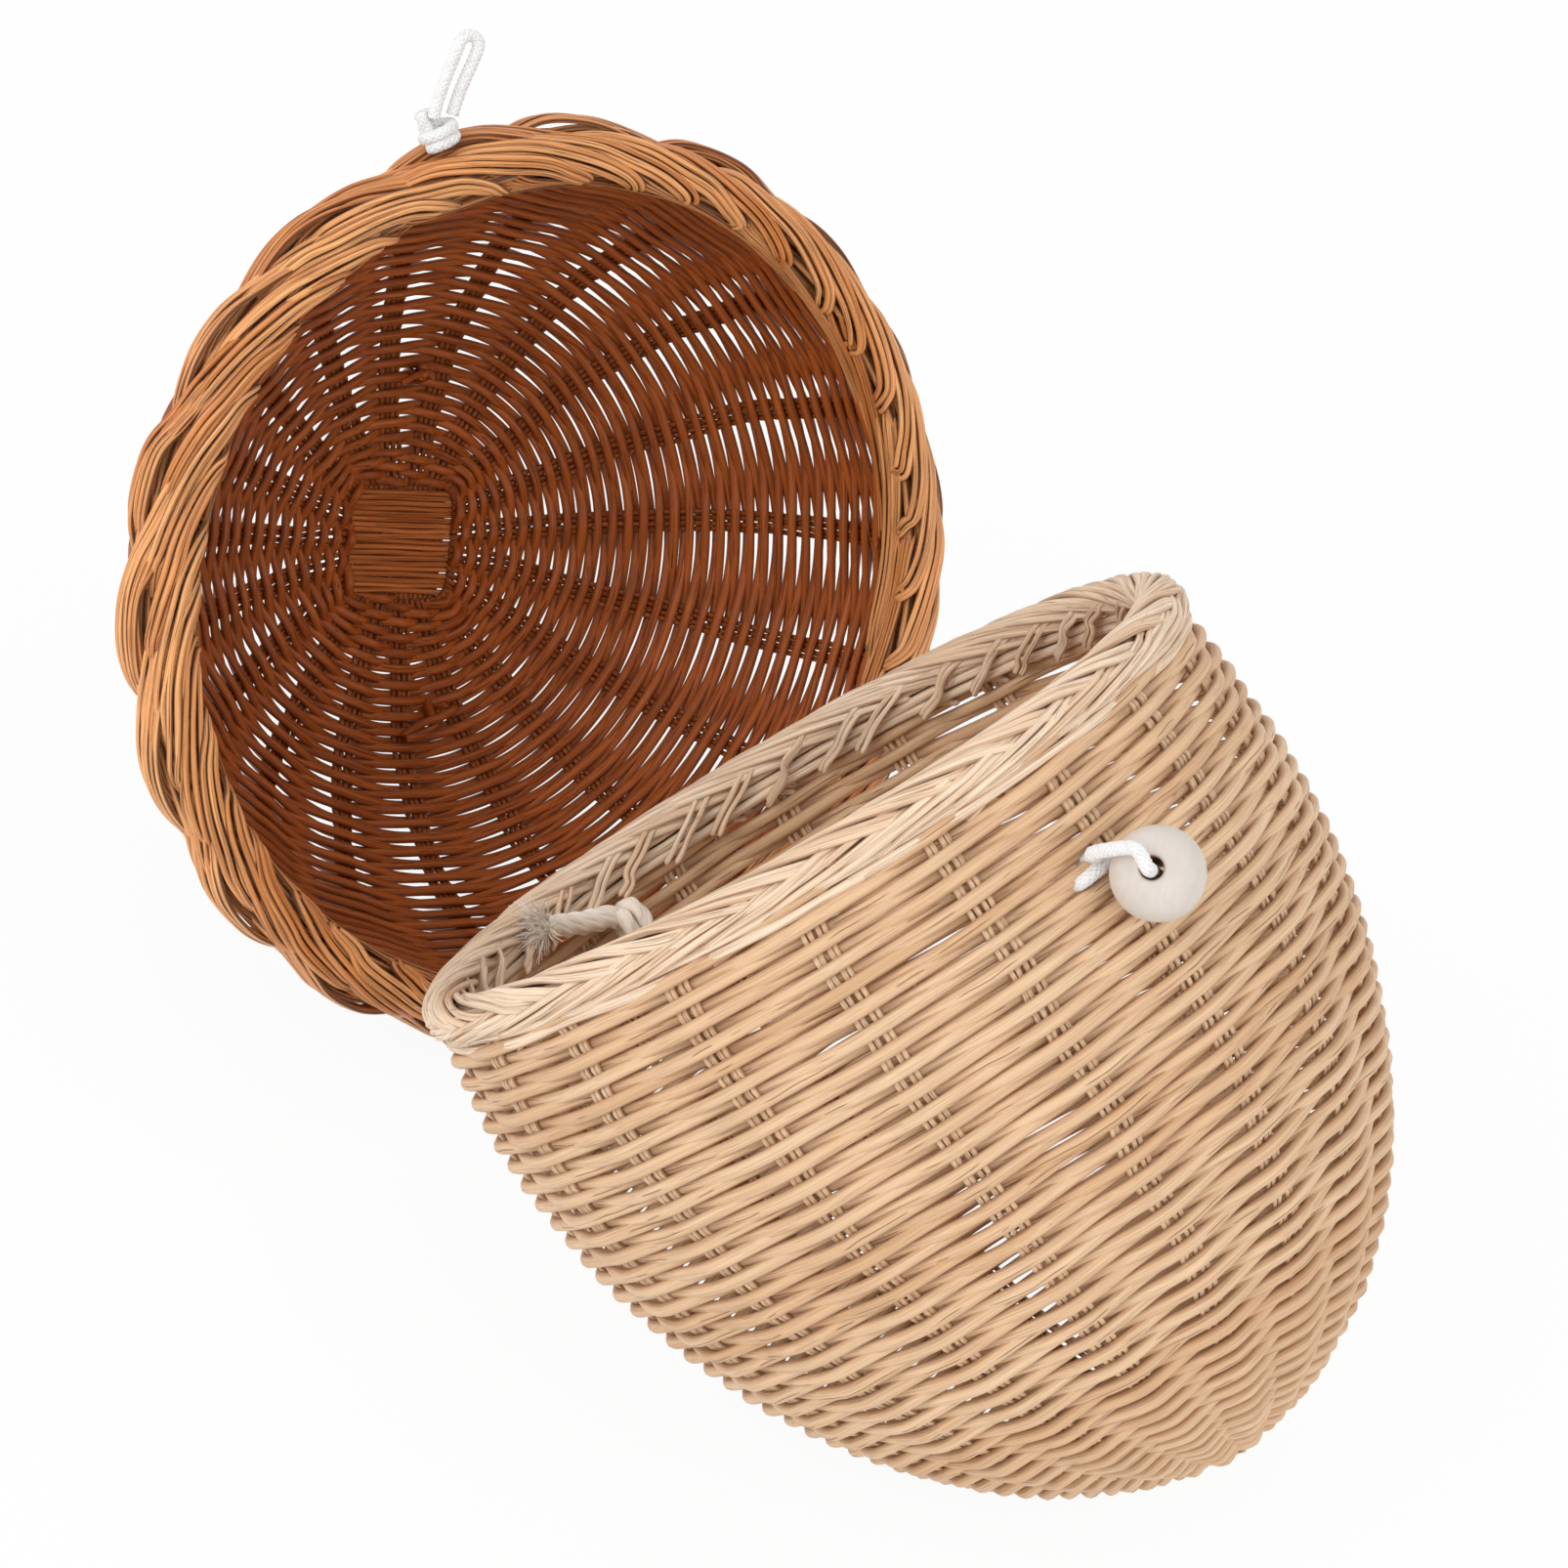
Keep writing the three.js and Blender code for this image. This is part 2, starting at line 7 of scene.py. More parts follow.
import bpy
import mathutils
import numpy as np
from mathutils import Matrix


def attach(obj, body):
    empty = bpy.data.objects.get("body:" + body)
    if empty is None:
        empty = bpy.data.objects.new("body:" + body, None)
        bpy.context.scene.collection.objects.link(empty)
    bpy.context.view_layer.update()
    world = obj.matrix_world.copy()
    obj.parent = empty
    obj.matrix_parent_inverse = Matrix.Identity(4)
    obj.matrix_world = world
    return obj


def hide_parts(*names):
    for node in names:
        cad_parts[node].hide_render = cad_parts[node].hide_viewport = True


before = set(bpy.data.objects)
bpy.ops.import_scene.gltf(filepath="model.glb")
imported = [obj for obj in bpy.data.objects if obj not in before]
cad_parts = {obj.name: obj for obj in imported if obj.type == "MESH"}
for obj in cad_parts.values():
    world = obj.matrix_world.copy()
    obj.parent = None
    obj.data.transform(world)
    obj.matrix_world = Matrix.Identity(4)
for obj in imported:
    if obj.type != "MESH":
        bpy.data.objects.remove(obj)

LOG = logging.getLogger("acorn_basket")
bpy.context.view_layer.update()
Array = np.ndarray
Paths = tuple[Array, Array, Array]  # points, normals and tones of strands
MM = 0.001
UP = np.array([0.0, 0.0, 1.0])
WHITE = (1, 1, 1, 1)

# Sizes that the solids use, in millimetres and degrees
GROUPS = 19
HINGE = -149.23
FIRST_STAKE = HINGE + 180 / GROUPS
FRONT = HINGE + 180
FOLD_RADIUS = 100.0
FOLD_HEIGHT = 140.0
LID_SEAT = 173.0
WALL = 6.0
WIDEST = 98.6
RIM_RADIUS = 96.2
RIM_HEIGHT = 186.0
BORDER_RADIUS = 110.0
LID_WIDEST = 105.0
LID_START = 10.0
LID_REACH = 81.0
LID_FULLNESS = 0.75
BEAD_RADIUS = 10.0
BEAD_BORE = 2.4


class FarEnd(Enum):
    """What the far end of a cord is."""

    BARE = "bare"
    OBJECT = "object"


class Body(Enum):
    """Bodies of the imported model."""

    BASKET = "basket"
    LID = "lid"
    BEAD = "bead"
    LOOP = "loop"


class Coat(NamedTuple):
    """A material, with the name of a slot of the record; nothing in this script reads the slot."""

    material: bpy.types.Material
    slot: str


# Curves


def unit(vectors: Array) -> Array:
    """Return vectors scaled to length one along their last axis."""
    return vectors / np.maximum(np.linalg.norm(vectors, axis=-1, keepdims=True), 1e-12)


def rotation(axis: Sequence[float], degrees: float) -> Array:
    """Rotation matrix for row vectors: a turn about an axis by the right-hand rule.

    Args:
        axis: direction of the axis.
        degrees: angle of the turn.

    Returns:
        A 3 by 3 matrix M, used as points @ M.
    """
    x, y, z = unit(np.array(axis, float))
    turn = math.radians(degrees)
    cross = np.array([[0, -z, y], [z, 0, -x], [-y, x, 0]])
    matrix = np.eye(3) + math.sin(turn) * cross + (1 - math.cos(turn)) * cross @ cross
    return matrix.T


def polar(radius: Any, azimuth: Any, height: Any) -> Array:
    """Return points from radius, azimuth in degrees and height, which may be arrays that broadcast."""
    radius, azimuth, height = np.broadcast_arrays(radius, np.radians(azimuth), height)
    return np.stack([radius * np.cos(azimuth), radius * np.sin(azimuth), height], axis=-1)


def radial(azimuth: float) -> tuple[Array, Array]:
    """Return the outward direction at an azimuth, and the level direction across it."""
    outward = polar(1.0, azimuth, 0.0)
    return outward, np.cross(UP, outward)


def around(first: Array, second: Array, turn: Array) -> Array:
    """Return first times the cosine of each turn plus second times its sine."""
    return first * np.cos(turn)[..., None] + second * np.sin(turn)[..., None]


def travelled(points: Array) -> Array:
    """Return the length of the path up to each of its points."""
    step = np.linalg.norm(np.diff(points, axis=-2), axis=-1)
    return np.concatenate([np.zeros(step.shape[:-1] + (1,)), np.cumsum(step, axis=-1)], axis=-1)


def wobble(position: Array, seed: int, waves: int = 6, low: float = 0.2, high: float = 3.0) -> Array:
    """Smooth noise: a sum of sines of random frequency and phase, about -1 to 1.

    Args:
        position: where the noise is read.
        seed: seed of the random frequencies and phases.
        waves: number of sines.
        low: lowest frequency in radians per unit.
        high: highest frequency in radians per unit.

    Returns:
        Array of the same shape as position.
    """
    rng = np.random.default_rng(seed)
    frequency = rng.uniform(low, high, waves)
    phase = rng.uniform(0, 2 * math.pi, waves)
    return np.sin(np.asarray(position)[..., None] * frequency + phase).sum(axis=-1) / math.sqrt(waves)


def smooth_step(share: Array) -> Array:
    """Return 3 s^2 - 2 s^3 for the share s kept between 0 and 1."""
    share = np.clip(share, 0, 1)
    return share * share * (3 - 2 * share)


def smooth_curve(controls: Array, count: int) -> Array:
    """Curve through control points: a Catmull-Rom spline with equal steps of parameter.

    Args:
        controls: control values, shape (C, D).
        count: number of points to return.

    Returns:
        Points on the spline, shape (count, D).
    """
    padded = np.concatenate([2 * controls[:1] - controls[1:2], controls, 2 * controls[-1:] - controls[-2:-1]])
    position = np.linspace(0, len(controls) - 1, count)
    index = np.minimum(position.astype(int), len(controls) - 2)
    t = (position - index)[:, None]
    a, b, c, d = (padded[index + k] for k in range(4))
    return 0.5 * (2 * b + (c - a) * t + (2 * a - 5 * b + 4 * c - d) * t**2 + (3 * b - a - 3 * c + d) * t**3)


def even_curve(controls: Array, count: int) -> Array:
    """Curve through control points with steps of equal length.

    Args:
        controls: control points, shape (C, 3).
        count: number of points to return.

    Returns:
        Points on the curve, shape (count, 3).
    """
    dense = smooth_curve(controls, 40 * len(controls))
    length = travelled(dense)
    wanted = np.linspace(0, length[-1], count)
    return np.stack([np.interp(wanted, length, dense[:, k]) for k in range(3)], axis=-1)


def evenly_spaced(controls: Array, spacing: float) -> tuple[Array, float]:
    """Return the curve through control points with points a spacing apart, and its length."""
    length = travelled(even_curve(controls, 200))[-1]
    return even_curve(controls, int(length / spacing) + 2), length


def steady_normals(points: Array, start: Sequence[float]) -> Array:
    """Normals along a curve that turn as little as they can.

    Args:
        points: curve, shape (P, 3).
        start: rough direction of the first normal.

    Returns:
        Normals, shape (P, 3).
    """
    normal = unit(np.array(start, float))
    normals = []
    for tangent in unit(np.gradient(points, axis=0)):
        normal = unit(normal - np.dot(normal, tangent) * tangent)
        normals.append(normal)
    return np.array(normals)


def strand_frame(route: Array, start: Sequence[float]) -> tuple[Array, Array, Array, Array]:
    """Return the tangent, normal and side direction along a route, and the length travelled."""
    tangent, normal = unit(np.gradient(route, axis=0)), steady_normals(route, start)
    return tangent, normal, np.cross(tangent, normal), travelled(route)


def curling(start: Array, heading: Array, length: Array, bend: Array, steps: int) -> Array:
    """Hairs: the start, plus the heading times the length, plus the bend times the square of the share.

    Args:
        start: start of each hair, shape (H, 3).
        heading: direction of each hair, same shape.
        length: length of each hair.
        bend: how far its tip is carried aside, shape (H, 3).
        steps: points along a hair.

    Returns:
        Points, shape (H, steps, 3).
    """
    share = np.linspace(0, 1, steps)
    points = start[:, None] + heading[:, None] * (share * length[:, None])[..., None]
    return points + bend[:, None] * (share**2)[:, None]


def rim_dip(azimuth: Any, height: Any, depth: float) -> Array:
    """How much lower the wall hangs at the front, because the rim isn't woven quite level.

    The dip is the depth times a half cosine of the azimuth, and grows up the wall as a smooth step.

    Args:
        azimuth: azimuth in degrees.
        height: height on the wall.
        depth: dip of the rim at its lowest place.

    Returns:
        The dip in millimetres.
    """
    lowest_azimuth, starts, grows = 45.0, 60.0, 126.0
    share = smooth_step((np.asarray(height) - starts) / grows)
    return depth * (1 + np.cos(np.radians(azimuth - lowest_azimuth))) / 2 * share


@dataclass(frozen=True)
class Placement:
    """A local frame in millimetres within the scene in metres, and the body that its pieces ride on."""

    origin: Array
    axes: Array
    body: Body

    def world(self, points: Array) -> Array:
        """Turn local points in millimetres into scene points in metres."""
        return self.origin + (points @ self.axes) * MM

    def direction(self, vectors: Array) -> Array:
        """Turn local directions into scene directions."""
        return vectors @ self.axes

    def on(self, body: Body) -> "Placement":
        """Return the same frame for a piece that rides on another body."""
        return replace(self, body=body)


@dataclass(frozen=True)
class Rest:
    """How the basket lies on the table, with the sizes that the model's source uses."""

    lean: float = 52.46
    heading: float = 151.583
    spin: float = 137.564
    origin: tuple[float, float, float] = (0.136849, -0.106649, 0.028949)
    fold_skew: float = 13.26
    fold_tilt: float = 8.08
    open_angle: float = 70.27

    def basket(self) -> Placement:
        """Return the place of the basket half."""
        axes = rotation(UP, self.spin) @ rotation((0, 1, 0), self.lean) @ rotation(UP, self.heading)
        return Placement(np.array(self.origin), axes, Body.BASKET)

    def lid(self) -> Placement:
        """Place of the lid half: closed, then turned open about the fold.

        Returns:
            The placement of the lid.
        """
        basket = self.basket()
        outward, aside = radial(HINGE)
        skew, tilt = math.tan(math.radians(self.fold_skew)), math.tan(math.radians(self.fold_tilt))
        turn = rotation(aside + outward * skew + UP * tilt, self.open_angle)
        fold = polar(FOLD_RADIUS, HINGE, FOLD_HEIGHT)
        return Placement(basket.world((UP * LID_SEAT - fold) @ turn + fold), turn @ basket.axes, Body.LID)


# Meshes


def add_object(name: str, data: bpy.types.ID) -> bpy.types.Object:
    """Put data into the scene as an object at the origin.

    Args:
        name: name of the object.
        data: its mesh, lamp or camera.

    Returns:
        The new object.
    """
    thing = bpy.data.objects.new(name, data)
    bpy.context.scene.collection.objects.link(thing)
    return thing


@dataclass
class Surface:
    """Vertices, faces and surface coordinates of a piece that is being built in a placement."""

    place: Placement
    vertices: list[Array] = field(default_factory=list)
    loops: list[Array] = field(default_factory=list)
    totals: list[Array] = field(default_factory=list)
    coordinates: list[Array] = field(default_factory=list)
    tones: list[Array] = field(default_factory=list)
    count: int = 0

    def add(self, vertices: Array, tones: Array) -> int:
        """Add vertices with their tones.

        Args:
            vertices: points in the scene, shape (V, 3).
            tones: one value for each, from 0 to 1.

        Returns:
            The index of the first vertex.
        """
        self.vertices.append(vertices)
        self.tones.append(tones)
        self.count += len(vertices)
        return self.count - len(vertices)

    def add_faces(self, faces: Array, coordinates: Array) -> None:
        """Add faces of one size.

        Args:
            faces: indices of vertices, shape (F, corners).
            coordinates: surface coordinates of each corner.
        """
        self.loops.append(faces.ravel())
        self.totals.append(np.full(len(faces), faces.shape[1]))
        self.coordinates.append(coordinates.reshape(-1, 2))

    def sweep(self, paths: Paths, width: Any, flat: float = 1.0, sides: int = 8) -> "Surface":
        """Carry an oval along many paths at once, and close its ends.

        A vertex is the path's point, plus the normal times cos(angle) times the half width and the
        flatness, plus the side direction times sin(angle) times the half width.

        Args:
            paths: points and rough normals, shape (S, P, 3), and tones that broadcast to (S, P).
            width: half size across in mm, broadcast to (S, P).
            flat: half size along the normal as a share of that.
            sides: number of sides of the oval.

        Returns:
            This surface.
        """
        points, normals = self.place.world(paths[0]), self.place.direction(paths[1])
        shape = strands, steps = points.shape[:2]
        tangents = unit(np.gradient(points, axis=1))
        across = unit(np.cross(tangents, normals))
        outward = np.cross(across, tangents)
        angles = (np.arange(sides) * 2 * math.pi / sides)[:, None]
        half = np.broadcast_to(np.asarray(width) * MM, shape)[..., None, None]
        ring = outward[:, :, None] * np.cos(angles) * (half * flat) + across[:, :, None] * np.sin(angles) * half
        tone = np.repeat(np.broadcast_to(np.asarray(paths[2], float), shape).reshape(-1), sides)
        base = self.add((points[:, :, None] + ring).reshape(-1, 3), tone)
        index = base + np.arange(strands * steps * sides).reshape(strands, steps, sides)
        near, far = index[:, :-1], index[:, 1:]
        quads = np.stack([near, np.roll(near, -1, 2), np.roll(far, -1, 2), far], axis=-1)
        length = travelled(points) / MM
        low, high = length[:, :-1, None], length[:, 1:, None]
        left = np.arange(sides) / sides
        right = left + 1 / sides
        corners = ((low, left), (low, right), (high, right), (high, left))
        coordinates = np.stack([np.stack(np.broadcast_arrays(*corner), -1) for corner in corners], axis=-2)
        self.add_faces(quads.reshape(-1, 4), coordinates)
        for cap, place in ((index[:, 0, ::-1], length[:, :1]), (index[:, -1], length[:, -1:])):
            self.add_faces(cap, np.stack(np.broadcast_arrays(place, np.full(sides, 0.5)), -1))
        return self

    def build(self, name: str, coat: Coat, *nodes: str) -> bpy.types.Object:
        """Make the object with smooth faces, let it ride, and let it stand for nodes.

        Args:
            name: name of the piece.
            coat: material and slot of the piece.
            nodes: names of the nodes that it replaces.

        Returns:
            The new object.
        """
        vertices = np.concatenate(self.vertices).astype(np.float32)
        loops = np.concatenate(self.loops).astype(np.int32)
        totals = np.concatenate(self.totals).astype(np.int32)
        mesh = bpy.data.meshes.new(name)
        mesh.vertices.add(len(vertices))
        mesh.vertices.foreach_set("co", vertices.ravel())
        mesh.loops.add(len(loops))
        mesh.loops.foreach_set("vertex_index", loops)
        mesh.polygons.add(len(totals))
        mesh.polygons.foreach_set("loop_start", (np.cumsum(totals) - totals).astype(np.int32))
        mesh.polygons.foreach_set("loop_total", totals)
        mesh.update(calc_edges=True)
        mesh.polygons.foreach_set("use_smooth", np.ones(len(totals), bool))
        uv = mesh.uv_layers.new(name="strand")
        uv.data.foreach_set("uv", np.concatenate(self.coordinates).astype(np.float32).ravel())
        tone = mesh.attributes.new("tone", "FLOAT", "POINT")
        tone.data.foreach_set("value", np.concatenate(self.tones).astype(np.float32))
        mesh.validate()
        mesh.materials.append(coat.material)
        piece = add_object(name, mesh)
        body = self.place.body.value
        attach(piece, body)
        if nodes:
            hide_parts(*nodes)
        LOG.info("%s: %d faces on %s", name, len(totals), body)
        return piece


# Finishes


class Value:
    """A number that flows through shader nodes, with the usual operators."""

    def __init__(self, nodes: "Nodes", socket: bpy.types.NodeSocket) -> None:
        """Wrap an output socket of a node tree."""
        self.nodes = nodes
        self.socket = socket

    def other(self, name: Any) -> "Value":
        """Return another output of the same node."""
        return Value(self.nodes, self.socket.node.outputs[name])

    def __add__(self, other: Any) -> "Value":
        """Return self + other."""
        return self.nodes.math("ADD", self, other)

    __radd__ = __add__

    def __sub__(self, other: Any) -> "Value":
        """Return self - other."""
        return self.nodes.math("SUBTRACT", self, other)

    def __rsub__(self, other: Any) -> "Value":
        """Return other - self."""
        return self.nodes.math("SUBTRACT", other, self)

    def __mul__(self, other: Any) -> "Value":
        """Return self * other."""
        return self.nodes.math("MULTIPLY", self, other)

    __rmul__ = __mul__

    def __abs__(self) -> "Value":
        """Return the value without its sign."""
        return self.nodes.math("ABSOLUTE", self)

    def clipped(self) -> "Value":
        """Return the value kept between 0 and 1."""
        return self.nodes.node("ShaderNodeMath", {"operation": "ADD", "use_clamp": True}, {0: self, 1: 0.0})


class Nodes:
    """Adds nodes to one tree."""

    def __init__(self, tree: bpy.types.NodeTree) -> None:
        """Start with a tree."""
        self.tree = tree

    def node(self, kind: str, settings: dict[str, Any], inputs: dict[Any, Any], out: Any = 0) -> Value:
        """Add a node.

        Args:
            kind: node type.
            settings: properties that are set before the inputs.
            inputs: numbers, colours or Values by socket name or number.
            out: name or number of the output that is returned.

        Returns:
            The chosen output.
        """
        node = self.tree.nodes.new(kind)
        for key, value in settings.items():
            setattr(node, key, value)
        for key, value in inputs.items():
            self.connect(node.inputs[key], value)
        return Value(self, node.outputs[out])

    def connect(self, socket: bpy.types.NodeSocket, value: Any) -> None:
        """Link a Value to a socket, or set the socket's own number or colour.

        Args:
            socket: input socket.
            value: Value, number or colour.
        """
        if isinstance(value, Value):
            self.tree.links.new(value.socket, socket)
        else:
            socket.default_value = value

    def math(self, operation: str, *values: Any) -> Value:
        """Return the result of a Math node."""
        return self.node("ShaderNodeMath", {"operation": operation}, dict(enumerate(values)))

    def mix(self, factor: Any, first: Any, second: Any) -> Value:
        """Return two colours mixed by a factor."""
        return self.node("ShaderNodeMix", {"data_type": "RGBA"}, {0: factor, 6: first, 7: second}, out=2)

    def noise(self, vector: Any, scale: float, detail: float = 2.0, roughness: float = 0.5) -> Value:
        """Return noise at a vector, about 0 to 1."""
        inputs = {"Vector": vector, "Scale": scale, "Detail": detail, "Roughness": roughness}
        return self.node("ShaderNodeTexNoise", {}, inputs)

    def join(self, x: Any, y: Any, z: Any) -> Value:
        """Return a vector of three components."""
        return self.node("ShaderNodeCombineXYZ", {}, {0: x, 1: y, 2: z})

    def ramp(self, factor: Value, low: float, high: float) -> Value:
        """Return the factor spread so that low becomes 0 and high becomes 1, kept within them."""
        return self.node("ShaderNodeMapRange", {"clamp": True}, {0: factor, 1: low, 2: high, 3: 0.0, 4: 1.0})


class Shader(Nodes):
    """Builds the nodes of one material round a Principled shader."""

    def __init__(self, name: str) -> None:
        """Start a material.

        Args:
            name: name of the material.
        """
        self.material = bpy.data.materials.new(name)
        self.material.use_nodes = True
        super().__init__(self.material.node_tree)
        self.tree.nodes.clear()
        self.output = self.tree.nodes.new("ShaderNodeOutputMaterial")
        self.principled = self.tree.nodes.new("ShaderNodeBsdfPrincipled")
        self.tree.links.new(self.principled.outputs[0], self.output.inputs[0])

    def strand_place(self) -> tuple[Value, Value, Value]:
        """Where a point of a strand lies.

        Returns:
            Length along the strand in mm, and the two coordinates round its section.
        """
        along = self.node("ShaderNodeSeparateXYZ", {}, {0: self.node("ShaderNodeUVMap", {"uv_map": "strand"}, {})})
        angle = along.other(1) * (2 * math.pi)
        return along, self.math("COSINE", angle), self.math("SINE", angle)

    def tone(self) -> Value:
        """Return the tone attribute of the piece."""
        return self.node("ShaderNodeAttribute", {"attribute_name": "tone"}, {}, out="Fac")

    def surface(self, colour: Any, roughness: Any, height: Any = None, depth: float = 0.0) -> None:
        """Connect colour, roughness and relief to the Principled shader.

        Args:
            colour: base colour.
            roughness: roughness.
            height: height for the bump, from 0 to 1.
            depth: size of the relief in metres.
        """
        self.connect(self.principled.inputs["Base Color"], colour)
        self.connect(self.principled.inputs["Roughness"], roughness)
        if height is not None:
            inputs = {"Strength": 1.0, "Distance": depth, "Height": height}
            self.connect(self.principled.inputs["Normal"], self.node("ShaderNodeBump", {}, inputs))


def linear(hexadecimal: str) -> tuple[float, float, float, float]:
    """Colour of a screen value as linear light: each channel above 0.04 is ((c + 0.055) / 1.055) ** 2.4.

    Args:
        hexadecimal: six digits, red first.

    Returns:
        Red, green, blue and an alpha of 1.
    """
    channels = [int(hexadecimal[k:k + 2], 16) / 255 for k in (0, 2, 4)]
    red, green, blue = (c / 12.92 if c <= 0.04045 else ((c + 0.055) / 1.055) ** 2.4 for c in channels)
    return (red, green, blue, 1.0)


@dataclass(frozen=True)
class ReedFinish:
    """Split reed: long grain lines, blotches of colour and a tone of its own on each strand."""

    name: str
    slot: str
    light: str
    middle: str
    dark: str
    grain: str
    roughness: float = 0.55
    relief: float = 0.0003
    grain_share: float = 0.6
    # Share of painted shade on the strand's sides, where it meets its neighbours.
    edge_shade_share: float = 0.5
    wear: float = 0.6
    gloss: float = 0.5

    def coat(self) -> Coat:
        """Return this reed's material, with its slot.

        Each noise is stretched along the strand and shifted by the strand's tone. Patches and the
        tone blend light to middle, streaks add dark, lines and splits add the grain, and the sides get painted shade.

        Returns:
            The coat.
        """
        shader = Shader(self.name)
        along, cosine, sine = shader.strand_place()
        tone = shader.tone()
        shift = tone * 40.0
        starts = (along * 0.03 + shift, along * 0.014 + shift, along * 0.03 - shift, along * 0.018 + shift)
        looks = ((1.7, 3.4, 4.0, 0.7), (2.0, 3.2, 2.0, 0.5), (4.4, 3.2, 2.0, 0.6), (0.3, 2.0, 3.0, 0.5))
        streaks, lines, hairs, patches = (
            shader.noise(shader.join(start, cosine * out, sine * out), scale, detail, roughness)
            for start, (out, scale, detail, roughness) in zip(starts, looks)
        )
        blend = shader.ramp(tone + (patches - 0.5) * 1.1, 0.05, 1.0)
        pale = shader.mix(blend, linear(self.light), linear(self.middle))
        worn = shader.mix(shader.ramp(streaks, 0.46, 0.78) * self.wear, pale, linear(self.dark))
        fine = shader.ramp(lines, 0.57, 0.68) * self.grain_share + shader.ramp(hairs, 0.6, 0.72) * 0.25
        colour = shader.mix(fine.clipped(), worn, linear(self.grain))
        open_split = shader.ramp(shader.noise(shader.join(along * 0.012, shift, 0.0), 3.0, 1.0), 0.58, 0.62)
        wander = shader.noise(shader.join(along * 0.05, shift, 3.0), 2.0, 1.0) * 0.9 - 0.45
        split = (1 - shader.ramp(abs(sine - wander), 0.03, 0.12)) * open_split
        colour = shader.mix(split * 0.75, colour, linear(self.grain))
        # Painted shade: the sides of each strand, where it touches its neighbours, darken towards the grain colour.
        colour = shader.mix(shader.ramp(abs(sine), 0.74, 1.0) * self.edge_shade_share, colour, linear(self.grain))
        height = streaks * 0.5 + (1 - shader.ramp(lines, 0.5, 0.66)) * 0.5 + (1 - split) * 1.2
        shader.surface(colour, (self.roughness + (streaks - 0.5) * 0.3).clipped(), height * 0.5, self.relief)
        shader.principled.inputs["Specular IOR Level"].default_value = self.gloss
        return Coat(shader.material, self.slot)


@dataclass(frozen=True)
class CordFinish:
    """Spun or braided fibre: a soft colour with darker valleys and fine fibres."""

    name: str
    slot: str
    light: str
    shade: str
    fibre: float = 0.00008
    sheen: float = 0.3
    roughness: float = 0.88

    def coat(self) -> Coat:
        """Build this cord's material.

        Returns:
            The coat.
        """
        shader = Shader(self.name)
        along, cosine, sine = shader.strand_place()
        tone = shader.tone()
        fibres = shader.noise(shader.join(along * 1.2, cosine * 3.0, sine * 3.0 + tone * 9.0), 2.5, 4.0, 0.7)
        blend = shader.ramp(fibres + (tone - 0.5) * 0.5, 0.35, 0.8)
        shader.surface(shader.mix(blend, linear(self.light), linear(self.shade)), self.roughness, fibres, self.fibre)
        shader.principled.inputs["Sheen Weight"].default_value = self.sheen
        return Coat(shader.material, self.slot)


@dataclass(frozen=True)
class BeadFinish:
    """Pale wood, sanded smooth, with faint rings and a rough brown bore."""

    name: str
    slot: str
    light: str
    shade: str
    bore: str
    grain_stretch: tuple[float, float, float] = (900.0, 120.0, 300.0)

    def coat(self) -> Coat:
        """Build the bead's material.

        Returns:
            The coat.
        """
        shader = Shader(self.name)
        place = shader.node("ShaderNodeTexCoord", {}, {}, out="Object")
        soft = shader.noise(place, 90.0, 3.0)
        stretched = shader.node("ShaderNodeMapping", {}, {"Vector": place, "Scale": self.grain_stretch})
        grain = shader.noise(stretched, 1.0, 3.0)
        wood = shader.mix(shader.ramp(soft * 0.6 + grain * 0.4, 0.35, 0.75), linear(self.light), linear(self.shade))
        colour = shader.mix(shader.tone(), wood, linear(self.bore))
        shader.surface(colour, 0.42 + grain * 0.2, grain, 0.00003)
        return Coat(shader.material, self.slot)


# Woven walls


